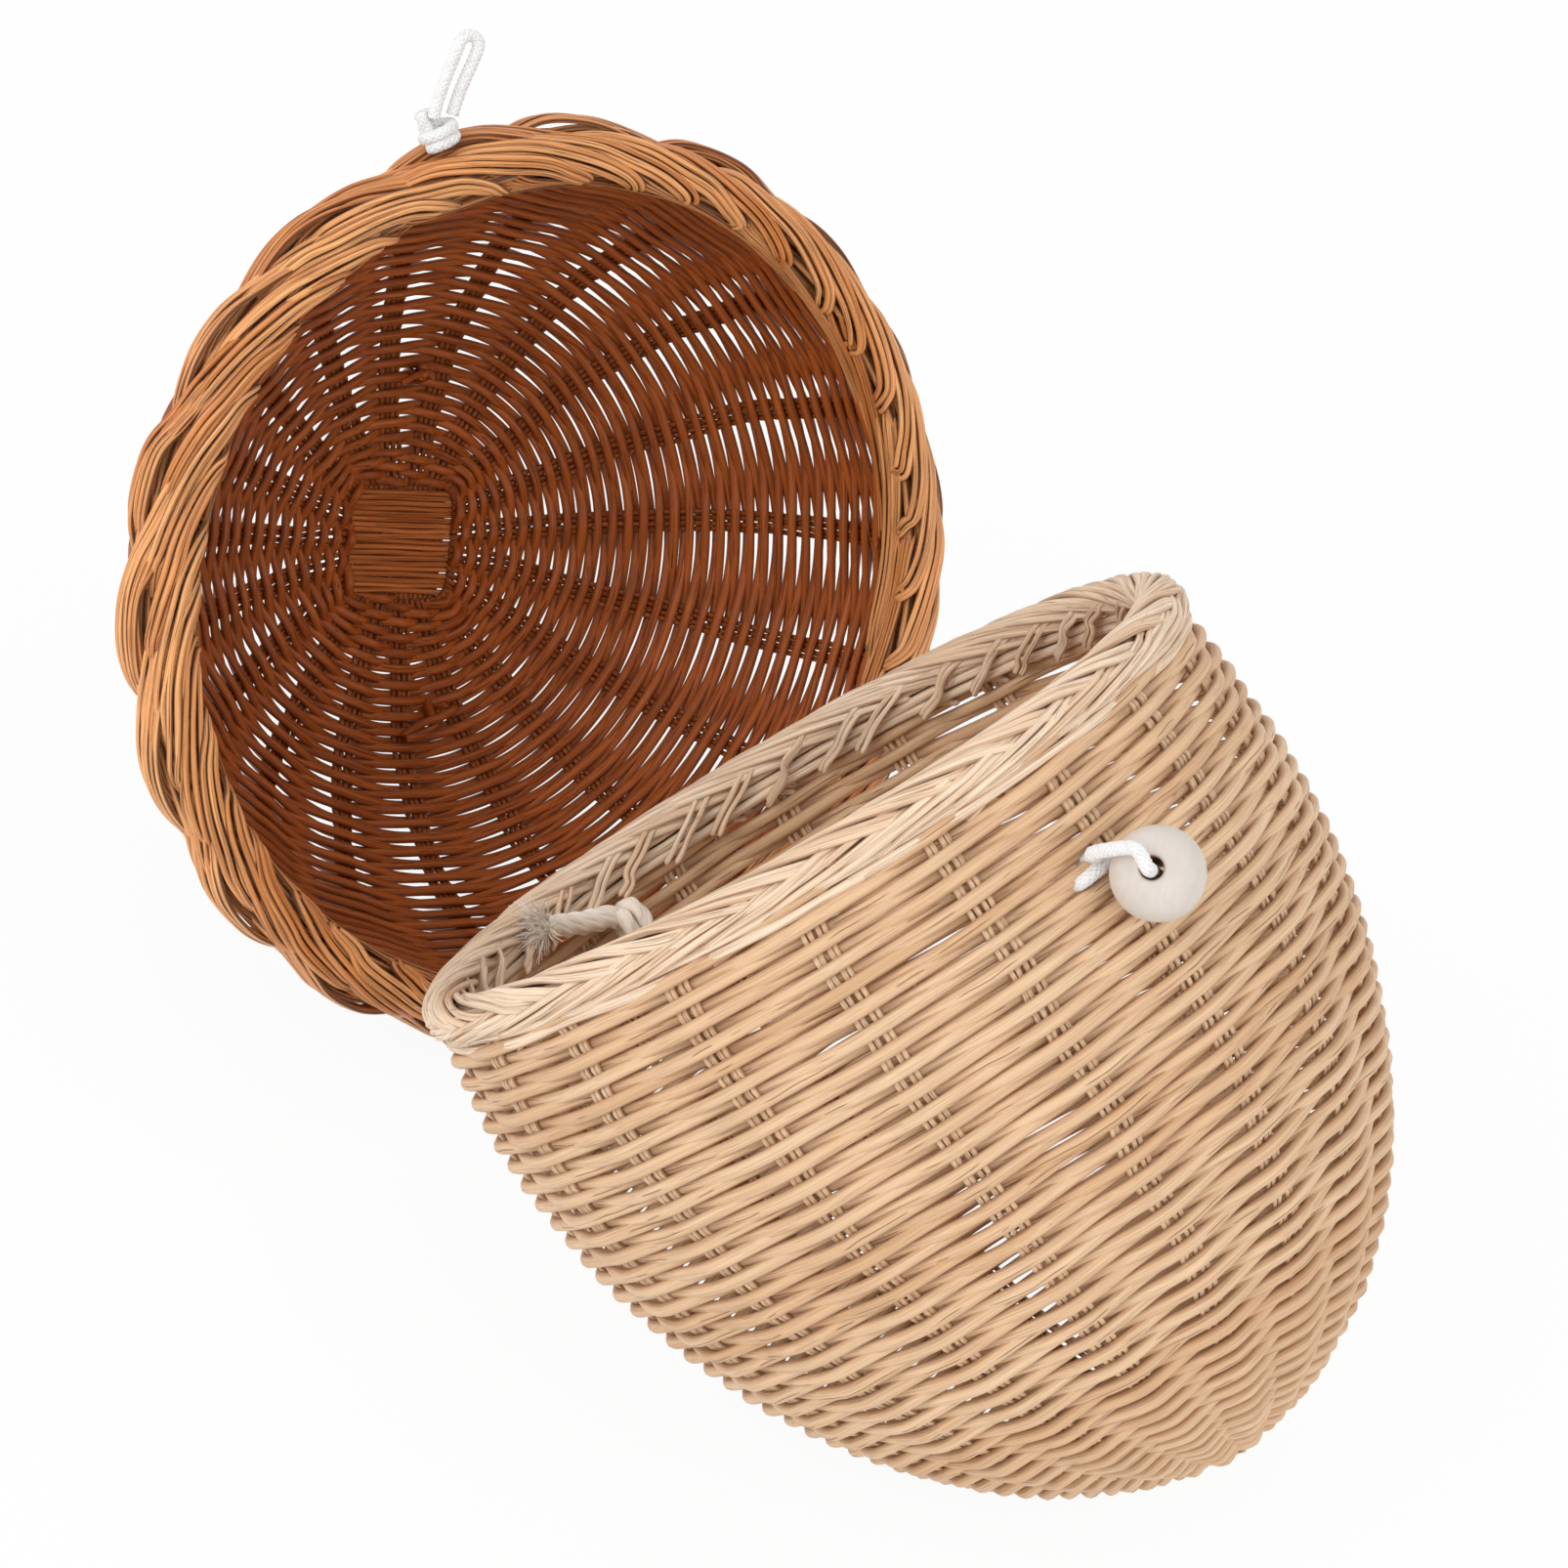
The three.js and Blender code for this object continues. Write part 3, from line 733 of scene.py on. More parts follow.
@dataclass
class Weave:
    """One woven wall: stakes in groups, and one weaver that goes over a group and under the next.

    A point on the wall is given by its azimuth, its length along the wall's profile and its depth
    along the outward normal, measured from the middle of the wall. The lean is how far the base is
    moved aside, and tight is the share by which the weaver is fuller on one side, with its azimuth.
    """

    profile: Array
    reed: float = 3.06
    swing: float = 1.95
    pitch: tuple[float, float] = (2.6, 2.68)
    slant: float = 0.5
    stake_reed: float = 1.36
    stake_swing: float = 0.35
    stake_gap: float = 0.8
    per_group: int = 4
    cross_pitch: float = 1.42
    cross_span: float = 27.0
    cross_turn: float = -46.3
    steps_per_group: int = 12
    dip: float = 0.0
    lean: tuple[float, float, float] = (0.0, 0.0, 0.0)
    tight: tuple[float, float] = (0.0, 0.0)
    seed: int = 1

    def __post_init__(self) -> None:
        """Measure the profile and its normals, moved to the middle of the wall."""
        dense = smooth_curve(self.profile, 800)
        tangent = unit(np.gradient(dense, axis=0))
        self.up = float(np.sign(self.profile[-1, 1] - self.profile[0, 1]))
        normal = self.up * np.stack([tangent[:, 1], -tangent[:, 0]], axis=-1)
        middle = dense - normal * WALL / 2
        first = int(np.argmax(middle[:, 0] > self.cross_span / 2 + self.reed * 0.45))
        self.middle, self.normal = middle[first:], normal[first:]
        self.length = travelled(self.middle)
        pitch = self.pitch[0] + (self.pitch[1] - self.pitch[0]) * self.length / self.length[-1]
        self.row_at = np.concatenate([[0], np.cumsum(np.diff(self.length) / ((pitch[1:] + pitch[:-1]) / 2))])

    def measured(self, along: Array, values: Array) -> Array:
        """Return values of the profile's points, read at a length along it."""
        return np.interp(along, self.length, values)

    def place(self, azimuth: Array, along: Array, depth: Any, shift: Any = 0.0) -> Array:
        """Points on the wall: a point of the profile turned to its azimuth, moved out by its depth.

        Args:
            azimuth: azimuth in degrees.
            along: length along the profile.
            depth: distance outward from the middle of the wall.
            shift: distance along the circle, in millimetres.

        Returns:
            Local points.
        """
        radius = self.measured(along, self.middle[:, 0]) * self.squareness(azimuth, along)
        height = self.measured(along, self.middle[:, 1])
        height = height - rim_dip(azimuth, height, self.dip)
        turned = azimuth + np.degrees(shift / np.maximum(radius, 1.0))
        return self.leaned(polar(radius, turned, height) + self.facing(azimuth, along) * np.asarray(depth)[..., None])

    def leaned(self, points: Array) -> Array:
        """Move points aside by the lean, times their share of the way from 150 mm down to the base."""
        return points + np.clip((150.0 - points[..., 2:]) / 150.0, 0, 1) * np.array(self.lean)

    def thickness_at(self, row: Array) -> Array:
        """Half the width of the weaver: it wavers, and is fuller on the tight side.

        Args:
            row: rows from the base.

        Returns:
            Half widths in mm.
        """
        turn = np.radians(FIRST_STAKE + 360 * row - self.tight[1])
        fuller = 1 + self.tight[0] * (1 + np.cos(turn)) / 2
        return self.reed / 2 * fuller * (1 + 0.07 * wobble(row * 2, self.seed + 5))

    def squareness(self, azimuth: Array, along: Array) -> Array:
        """Factor on the radius that makes the first rows square: (cos^6 + sin^6)^(-1/6), fading out.

        Args:
            azimuth: azimuth in degrees.
            along: length along the profile.

        Returns:
            The factor.
        """
        turn = np.radians(azimuth - self.cross_turn)
        square = (np.abs(np.cos(turn)) ** 6 + np.abs(np.sin(turn)) ** 6) ** (-1 / 6)
        return 1 + (square - 1) * np.exp(-((along / 9.0) ** 2))

    def facing(self, azimuth: Array, along: Array) -> Array:
        """Outward normals of the wall."""
        return unit(polar(self.measured(along, self.normal[:, 0]), azimuth, self.measured(along, self.normal[:, 1])))

    def weaver(self, start: float, end: float) -> Paths:
        """Path of the weaver between two rows.

        The depth runs nearly straight from one side of the wall at a stake to the other side at the
        next: a triangle wave with a share of cosine. As the number of groups is odd, it changes
        sign after each turn, so one reed makes all the rows.

        Args:
            start: first row.
            end: last row.

        Returns:
            Points, normals and tones of the one path.
        """
        per_row = GROUPS * self.steps_per_group
        row = np.arange(round(start * per_row), round(end * per_row) + 1) / per_row
        azimuth, phase = FIRST_STAKE + 360 * row, math.pi * GROUPS * row
        along = np.interp(row, self.row_at, self.length) + self.slant * np.sin(phase)
        along = along + 0.09 * wobble(row * GROUPS, self.seed, low=0.1, high=2.2)
        wave = 0.7 * np.arcsin(0.985 * np.cos(phase)) / (math.pi / 2) + 0.3 * np.cos(phase)
        depth = self.swing * wave + 0.1 * wobble(row * GROUPS, self.seed + 1, low=0.1, high=1.5)
        tone = np.clip(0.45 + 0.28 * wobble(row, self.seed + 2, low=0.05, high=2.2), 0, 1)
        along = np.clip(along, 0, self.length[-1])
        return self.place(azimuth, along, depth)[None], self.facing(azimuth, along)[None], tone[None]

    def stakes(self) -> Paths:
        """Paths of all the stake reeds: from the edges of the base cross to the border.

        Near the cross a reed starts straight out of its side of the square, and then it eases over
        to its place in its group.

        Returns:
            Points of shape (reeds, P, 3), normals and tones.
        """
        spacing = 360 / GROUPS
        along = np.linspace(0.0, self.length[-1], int(self.length[-1] / 1.2))
        row = self.measured(along, self.row_at)
        radius = self.measured(along, self.middle[:, 0])
        rng = np.random.default_rng(self.seed + 7)
        reeds, middle = self.per_group * GROUPS, (self.per_group - 1) / 2
        opening = int(round((FIRST_STAKE - (self.cross_turn - 45)) / (360 / reeds) - 2))
        ease = smooth_step(along / 16.0)
        points, normals, tones = [], [], []
        for reed in range(reeds):
            group, member = divmod(reed, self.per_group)
            side, number = divmod((opening + reed) % reeds, GROUPS)
            across = (number - (GROUPS - 1) / 2) * self.cross_pitch
            start = self.cross_turn + 90 * side + math.degrees(math.atan2(across, self.cross_span / 2))
            azimuth = FIRST_STAKE + spacing * group
            start += 360 * round((azimuth - start) / 360)
            room = np.clip(radius * math.radians(spacing) / (4.6 * self.stake_reed), 0.0, 1.0)
            offset = (member - middle) * self.stake_reed + math.copysign(self.stake_gap / 2, member - middle)
            drift = 0.5 * wobble(along / 14, self.seed + 11 * group, waves=4)
            own = 0.14 * wobble(along / 6, int(rng.integers(1 << 30)), waves=3)
            turn = start + (azimuth - start) * ease
            lean = self.stake_swing * np.cos(math.pi * (row - group / GROUPS) + math.pi * group)
            points.append(self.place(turn, along, -lean * ease + own, (offset * room + drift + own) * ease))
            normals.append(self.facing(turn, along))
            tones.append(rng.uniform(0.1, 0.95))
        return np.array(points), np.array(normals), np.array(tones)[:, None]

    def cross_reeds(self, layer: int) -> Paths:
        """Paths of one layer of the base cross: parallel reeds a pitch apart.

        Args:
            layer: 0 for the outer layer, 1 for the inner one.

        Returns:
            Points, normals and tones.
        """
        rng = np.random.default_rng(self.seed + 50 + layer)
        across = (np.arange(GROUPS) - (GROUPS - 1) / 2) * self.cross_pitch
        along = np.linspace(-1, 1, 24) * (self.cross_span / 2 + 3.0)
        wave = np.array([wobble(along / 9, int(seed), waves=3) for seed in rng.integers(1 << 30, size=GROUPS)])
        x = np.broadcast_to(along, wave.shape)
        height = self.profile[0, 1] + self.up * (0.75 + 1.5 * layer - 0.25 * (x / along[-1]) ** 4)
        points = np.stack([x, across[:, None] + 0.12 * wave, height + 0.12 * wave[::-1]], axis=-1)
        turned = self.leaned(points @ rotation(UP, self.cross_turn + 90 * (1 - layer)))
        return turned, np.broadcast_to(-self.up * UP, turned.shape), rng.uniform(0.1, 0.9, GROUPS)[:, None]


@dataclass(frozen=True)
class Course:
    """One kind of strand in a border, with its route along the rim.

    A station of the route is: how far along the rim in stake spacings, the place in the border's
    cross-section, outward from its middle and up from its foot, which way the flat side faces
    there, from 0 outward over 90 up to 180 inward, and how far the reeds spread.
    """

    name: str
    stations: tuple[tuple[float, ...], ...]
    units: int
    reeds: int
    reed: float
    seed: int
    flat: float = 0.9
    play: float = 0.2
    crown: float = 0.0
    steps: int = 64


@dataclass
class PlaitedBorder:
    """A plaited border: the stake ends go along the rim, under and over the next ones, round a core."""

    radius: float
    foot: float
    up: float
    courses: tuple[Course, ...]
    core: tuple[tuple[float, float], ...]
    core_reed: float = 2.5
    dip: float = 0.0

    def place(self, azimuth: Array, out: Any, height: Any) -> Array:
        """Points in the border: outward from the ring's middle and up from its foot, with the dip."""
        level = self.foot + self.up * np.asarray(height)
        return polar(self.radius + out, azimuth, level - rim_dip(azimuth, level, self.dip))

    def strands(self, course: Course) -> tuple[Paths, Array]:
        """Paths of all the reeds of a course.

        A reed lies beside its unit's route by its place in the unit, and its width falls to a
        rounded end: the square root of 1 - (1 - distance from the end)^2.

        Args:
            course: the course of strands.

        Returns:
            Points of shape (units * reeds, steps, 3), normals and tones, and the size factors.
        """
        rng = np.random.default_rng(course.seed)
        own = np.linspace(0, 6, course.steps)
        points, normals, tones, sizes = [], [], [], []
        for number in range(course.units):
            stations = np.array(course.stations)
            stations[:, 0] += rng.normal(0, 0.05)
            stations[1:-1, 0] += rng.normal(0, 0.02, len(stations) - 2)
            stations[:, 1:3] += rng.normal(0, course.play, (len(stations), 2))
            stations[:, 3] += rng.normal(0, 7)
            along, out, height, turn, spread = smooth_curve(stations, course.steps).T
            unit_tone = rng.uniform(0.1, 0.9)
            for reed in range(course.reeds):
                aside = reed - (course.reeds - 1) / 2
                azimuth = FIRST_STAKE + 360 * number / course.units
                azimuth = azimuth + 360 / GROUPS * (along + rng.normal(0, 0.025))
                centre = self.place(azimuth, out, height)
                face = around(polar(1.0, azimuth, 0.0), UP * self.up, np.radians(turn))
                across = unit(np.cross(unit(np.gradient(centre, axis=0)), face))
                beside = aside * course.reed * 0.95 * spread
                beside = beside + 0.1 * wobble(own, int(rng.integers(1 << 30)), waves=4)
                sink = 0.14 * wobble(own, int(rng.integers(1 << 30)), waves=4) - course.crown * aside**2
                points.append(centre + across * beside[:, None] + face * sink[:, None])
                normals.append(face)
                tones.append(np.clip(unit_tone + rng.normal(0, 0.18), 0.02, 0.98))
                length = travelled(centre)
                left = np.minimum(length, length[-1] - length) / (0.6 * course.reed)
                rounded = np.sqrt(1 - (1 - np.clip(left, 0.03, 1.0)) ** 2)
                sizes.append(rounded * (1 + 0.06 * wobble(own, int(rng.integers(1 << 30)), waves=3)))
        return (np.array(points), np.array(normals), np.array(tones)[:, None]), np.array(sizes)

    def core_rings(self) -> Paths:
        """Paths of the reeds that run round inside the border and fill it.

        Returns:
            Points, normals and tones.
        """
        azimuth = np.linspace(0, 364, 200)
        points = np.array([
            self.place(azimuth, out + 0.25 * wobble(azimuth / 9, 300 + k), height + 0.25 * wobble(azimuth / 9, 330 + k))
            for k, (out, height) in enumerate(self.core)
        ])
        return points, np.broadcast_to(polar(1.0, azimuth, 0.0), points.shape), np.full((len(points), 1), 0.05)


def basket_border() -> PlaitedBorder:
    """The basket's border: reeds out of the wall, over the crest, and their tails inside.

    Returns:
        The border.
    """
    outer = (
        (-0.2, 0.4, -4.0, 0, 0.9), (0.02, 1.0, -1.2, 0, 0.95), (0.24, 2.3, 0.9, 0, 1.0),
        (0.52, 3.9, 2.2, 0, 1.0), (0.86, 4.4, 3.4, 4, 1.0), (1.14, 4.2, 4.6, 12, 1.0),
        (1.34, 3.4, 5.4, 28, 0.95), (1.56, 1.8, 5.8, 55, 0.85), (1.8, -0.2, 5.8, 75, 0.8),
    )
    crest = (
        (-0.25, -2.8, 3.0, 170, 0.75), (0.0, -4.3, 4.6, 168, 0.85), (0.35, -4.8, 6.3, 155, 0.9),
        (0.75, -3.9, 7.9, 128, 0.9), (1.15, -2.0, 8.8, 106, 0.9), (1.5, 0.4, 8.9, 86, 0.9),
        (1.8, 2.5, 8.0, 60, 0.9), (2.05, 3.7, 6.6, 36, 0.88), (2.25, 3.5, 5.2, 20, 0.82),
        (2.4, 2.3, 4.2, 10, 0.8),
    )
    inner = (
        (-0.12, -2.2, 6.4, 130, 0.8), (0.02, -4.2, 6.2, 155, 0.9), (0.14, -5.4, 4.9, 178, 1.0),
        (0.28, -5.8, 2.7, 180, 1.0), (0.42, -5.7, 0.2, 180, 1.0), (0.54, -5.3, -2.0, 180, 0.95),
        (0.62, -4.8, -3.6, 180, 0.9),
    )
    core = (
        (-2.2, -1.4), (0.2, -1.6), (2.2, -1.8), (-2.6, 1.0), (0.0, 0.8), (2.4, 0.6), (-2.8, 3.5), (0.0, 3.4),
        (2.3, 3.0), (-2.2, 5.8), (0.4, 5.9),
    )
    courses = (
        Course("outer", outer, 38, 2, 1.72, 41, play=0.15, crown=0.15),
        Course("crest", crest, 38, 2, 1.92, 42, play=0.12, crown=0.15, steps=84),
        Course("inner", inner, 38, 2, 1.5, 43, play=0.15, steps=36),
    )
    return PlaitedBorder(91.9, 177.0, 1.0, courses, core, dip=6.3)


def lid_border() -> PlaitedBorder:
    """The lid's border: bulging bundles outside, flat units over the crest, thin tails.

    Returns:
        The border.
    """
    outer = (
        (-0.14, -0.8, -4.0, 0, 0.8), (0.0, 2.2, -0.8, 0, 0.9), (0.15, 5.6, 1.6, 0, 1.0),
        (0.42, 8.8, 3.8, 0, 1.08), (0.72, 9.1, 5.8, 2, 1.08), (0.98, 7.2, 8.0, 10, 1.0),
        (1.2, 5.4, 10.0, 24, 0.95), (1.42, 3.8, 11.8, 45, 0.85), (1.65, 1.6, 12.6, 70, 0.75),
    )
    under = tuple((a + 0.08, out - 1.7, height + 0.3, face, spread) for a, out, height, face, spread in outer)
    crest = (
        (-0.12, 3.6, 8.0, 24, 0.7), (0.06, 5.0, 11.0, 36, 0.9), (0.24, 4.9, 13.4, 52, 1.0),
        (0.5, 3.3, 15.4, 74, 1.05), (0.78, 1.2, 16.3, 88, 1.05), (1.05, -1.0, 16.4, 97, 1.05),
        (1.26, -3.2, 15.8, 112, 1.0), (1.37, -4.8, 14.4, 140, 0.95), (1.41, -5.5, 12.4, 172, 0.9),
        (1.42, -4.9, 10.6, 180, 0.85),
    )
    inner = (
        (-0.1, -2.4, 11.6, 100, 0.8), (0.15, -4.8, 12.0, 150, 0.9), (0.5, -5.5, 10.8, 174, 1.0),
        (0.95, -5.6, 8.8, 180, 1.0), (1.35, -5.5, 6.8, 180, 1.05), (1.7, -5.2, 5.2, 180, 1.1),
        (1.95, -4.4, 4.0, 180, 1.1),
    )
    core = (
        (-3.8, 3.0), (-1.2, 2.8), (1.4, 3.0), (3.8, 4.2), (-4.0, 6.2), (-1.4, 6.0), (1.2, 6.4), (3.6, 7.2),
        (-3.8, 9.4), (-1.2, 9.2), (1.4, 9.6), (-2.6, 12.4), (0.2, 12.8), (5.6, 3.4), (5.2, 6.6), (3.0, 11.0),
    )
    courses = (
        Course("outer", outer, 19, 5, 1.62, 51, crown=0.1),
        Course("under", under, 19, 5, 1.6, 54),
        Course("crest", crest, 38, 3, 1.7, 52, flat=0.85, crown=0.38, steps=80),
        Course("inner", inner, 19, 5, 1.2, 53, play=0.12),
    )
    return PlaitedBorder(104.2, 16.0, -1.0, courses, core)


# Halves


def basket_profile() -> Array:
    """Outer profile of the basket: r = 98.6 cos(t)^1.15, z = 141 - 145.2 sin(t), then the shoulder.

    Below 70 mm the wall is pressed up by 4 mm times the square of its share of that depth.

    Returns:
        Points of radius and height, from the base up.
    """
    level, reach, fullness, base_edge, pressed = 141.0, 145.2, 1.15, 19.7, 70.0
    t = np.linspace(math.acos((base_edge / WIDEST) ** (1 / fullness)), 0, 24)
    belly = np.stack([WIDEST * np.cos(t) ** fullness, level - reach * np.sin(t)], axis=-1)
    belly[:, 1] += 4.0 * (np.clip(pressed - belly[:, 1], 0, None) / pressed) ** 2
    share = np.linspace(0, 1.15, 6)[1:]
    shoulder = np.stack([WIDEST - 2.4 * share**2, level + 32.7 * share], axis=-1)
    return np.concatenate([[[12.0, 4.0], [15.5, 4.0]], belly, shoulder])


def lid_angle(radius: float) -> float:
    """Return the angle t of the lid's profile at a radius."""
    return math.acos((radius / LID_WIDEST) ** (1 / LID_FULLNESS))


def lid_profile() -> Array:
    """Outer profile of the lid: r = 105 cos(t)^0.75, z = 10 + 81 sin(t)."""
    t = np.linspace(lid_angle(12.0), math.asin(1.8 / LID_REACH), 30)
    return np.stack([LID_WIDEST * np.cos(t) ** LID_FULLNESS, LID_START + LID_REACH * np.sin(t)], axis=-1)


@dataclass
class Half:
    """One half of the acorn, with its own place and coats."""

    place: Placement
    weave: Weave
    border: PlaitedBorder
    reed: Coat
    stake: Coat
    cross: Coat
    rim: Coat
    bands: int
    hair_seed: int
    hair_count: int = 70

    def strands(self, name: str, paths: Paths, width: Any, flat: float, sides: int, coat: Coat, *nodes: str) -> None:
        """Build one piece of strands, which stands for nodes of this half.

        Args:
            name: name of the piece, without the half's own name.
            paths: points, normals and tones in the local frame.
            width: half size across in mm.
            flat: half size along the normal as a share of that.
            sides: sides of the section.
            coat: material and slot.
            nodes: nodes that it replaces, without the half's own name.
        """
        prefix = self.place.body.value
        surface = Surface(self.place).sweep(paths, width, flat, sides)
        surface.build(f"{prefix}_{name}", coat, *(f"{prefix}_{node}" for node in nodes))

    def build(self) -> None:
        """Build the weaver in bands, the stakes, the base cross, the border and its hairs."""
        weave, border = self.weave, self.border
        edges = np.linspace(0, weave.row_at[-1], self.bands + 1)
        for band, (start, end) in enumerate(zip(edges, edges[1:]), 1):
            paths = weave.weaver(start, end)
            size = weave.thickness_at(np.linspace(start, end, paths[0].shape[1]))
            self.strands(f"weaver_{band}", paths, size, 0.92, 10, self.reed, "weave")
        half = weave.stake_reed / 2
        stakes = [f"stake_{number:02d}" for number in range(1, GROUPS + 1)]
        self.strands("stake_reeds", weave.stakes(), half, 0.95, 7, self.stake, *stakes)
        for layer, word in enumerate(("outer", "inner")):
            paths = weave.cross_reeds(layer)
            self.strands(f"base_cross_{word}", paths, half, 0.95, 8, self.cross, f"base_reeds_{word}")
        for course in border.courses:
            paths, sizes = border.strands(course)
            self.strands(f"border_{course.name}", paths, sizes * course.reed / 2, course.flat, 8, self.rim, "border")
        self.strands("border_core", border.core_rings(), border.core_reed / 2, 1.0, 6, self.rim, "border")
        self.strands("stray_fibres", *self.hairs(), 1.0, 4, self.rim)

    def hairs(self) -> tuple[Paths, Array]:
        """Fine hairs of reed that start along the rim, lift off it and curl by a random bend.

        Returns:
            Their points, normals and tones, and their half width.
        """
        rng = np.random.default_rng(self.hair_seed)
        count = self.hair_count
        azimuth = rng.uniform(0, 360, count)
        inside = rng.uniform(0, 1, count) > 0.45
        out = np.where(inside, rng.uniform(-5.6, -4.6, count), rng.uniform(1.0, 4.4, count))
        height = np.where(inside, rng.uniform(0, 8, count), rng.uniform(2, 9, count))
        start = self.border.place(azimuth, out, height)
        outward = polar(1.0, azimuth, 0.0) * np.where(inside, -1.0, 1.0)[:, None]
        along = np.cross(UP, polar(1.0, azimuth, 0.0)) * rng.choice([-1.0, 1.0], count)[:, None]
        heading = along + outward * rng.uniform(0.0, 0.2, count)[:, None] + rng.normal(0, 0.24, (count, 3))
        length = rng.uniform(3, 9, count)
        bend = rng.normal(0, 1.0, (count, 3)) + outward * 0.2
        points = curling(start, unit(heading), length, bend, 12)
        normals = np.broadcast_to(outward[:, None], points.shape)
        return (points, normals, rng.uniform(0, 0.5, (count, 1))), 0.13 - 0.08 * np.linspace(0, 1, 12)


# Cords


@dataclass
class TwistedRope:
    """A cotton rope of three strands, each of several yarns, along a path."""

    coat: Coat
    diameter: float = 4.8
    strands: int = 3
    yarns: int = 5
    lay: float = 15.0
    swell: float = 0.0
    swell_from: float = 0.0
    spacing: float = 0.5
    seed: int = 5

    @property
    def strand_size(self) -> float:
        """Half the width of a yarn."""
        return self.diameter * 0.125

    def fullness(self, length: Array) -> Array:
        """Factor on the rope's size: 1 plus the swell, from its start over 8 mm."""
        return 1 + self.swell * np.clip((length - self.swell_from) / 8.0, 0, 1)

    def paths(self, route: Array, start: Sequence[float]) -> Paths:
        """Paths of the yarns: helices in helices round the route.

        Args:
            route: middle line in millimetres, evenly spaced.
            start: rough direction of the first normal.

        Returns:
            Points, normals and tones.
        """
        tangent, normal, side, length = strand_frame(route, start)
        rng = np.random.default_rng(self.seed)
        full = (self.diameter * self.fullness(length))[:, None]
        points, normals, tones = [], [], []
        for strand in range(self.strands):
            outward = around(normal, side, 2 * math.pi * (length / self.lay + strand / self.strands))
            about = np.cross(tangent, outward)
            for yarn in range(self.yarns):
                own = around(outward, about, -2 * math.pi * (length / (self.lay * 0.8) - yarn / self.yarns))
                points.append(route + outward * full * 0.22 + own * full * 0.155)
                normals.append(own)
                tones.append(rng.uniform(0.1, 0.9))
        return np.array(points), np.array(normals), np.array(tones)[:, None]


@dataclass
class BraidedCord:
    """A round braid: half the strands wind one way and half the other, over and under."""

    coat: Coat
    diameter: float = 3.0
    strands: int = 12
    lay: float = 7.5
    spacing: float = 0.25
    strand_size: float = 0.47
    seed: int = 8

    def fullness(self, length: Array) -> Array:
        """Factor on the braid's size: 1 everywhere."""
        return np.ones_like(length)

    def paths(self, route: Array, start: Sequence[float]) -> Paths:
        """Paths of the strands round the route: the distance from it waves as they cross.

        Args:
            route: middle line in millimetres, evenly spaced.
            start: rough direction of the first normal.

        Returns:
            Points, normals and tones.
        """
        _, normal, side, length = strand_frame(route, start)
        rng = np.random.default_rng(self.seed)
        each = self.strands // 2
        points, normals, tones = [], [], []
        for way in (1, -1):
            for strand in range(each):
                outward = around(normal, side, 2 * math.pi * (way * length / self.lay + strand / each))
                crossing = np.cos(each * (2 * math.pi * length / self.lay) + math.pi * strand)
                points.append(route + outward * (self.diameter * (0.375 + way * 0.022 * crossing))[:, None])
                normals.append(outward)
                tones.append(rng.uniform(0.2, 0.8))
        return np.array(points), np.array(normals), np.array(tones)[:, None]


def coil(centre: Array, axis: Array, start: Array, radii: tuple[float, float], pitch: float, turns: float) -> Array:
    """Points of a coil: the centre, plus the pitch along the axis for each turn, plus the radii.

    The radii are multiplied by the root of 1 minus the square of 0.6 times the place from -1 to 1
    along the coil, so that its ends are rounded like a knot that was pulled tight.

    Args:
        centre: middle of the coil.
        axis: direction of its axis.
        start: rough direction of the first radius.
        radii: first and second radius of the oval turns.
        pitch: length along the axis for each turn.
        turns: number of turns.

    Returns:
        Points of the coil.
    """
    axis = unit(axis)
    first = unit(start - np.dot(start, axis) * axis)
    turn = np.linspace(0, 2 * math.pi * turns, int(12 * turns) + 2)
    lengthwise = (turn - turn.mean()) / (2 * math.pi) * pitch
    rounded = np.sqrt(1 - (0.6 * np.linspace(-1, 1, len(turn))) ** 2)
    ring = around(first * radii[0], np.cross(axis, first) * radii[1], turn)
    return centre + axis * lengthwise[:, None] + ring * rounded[:, None]


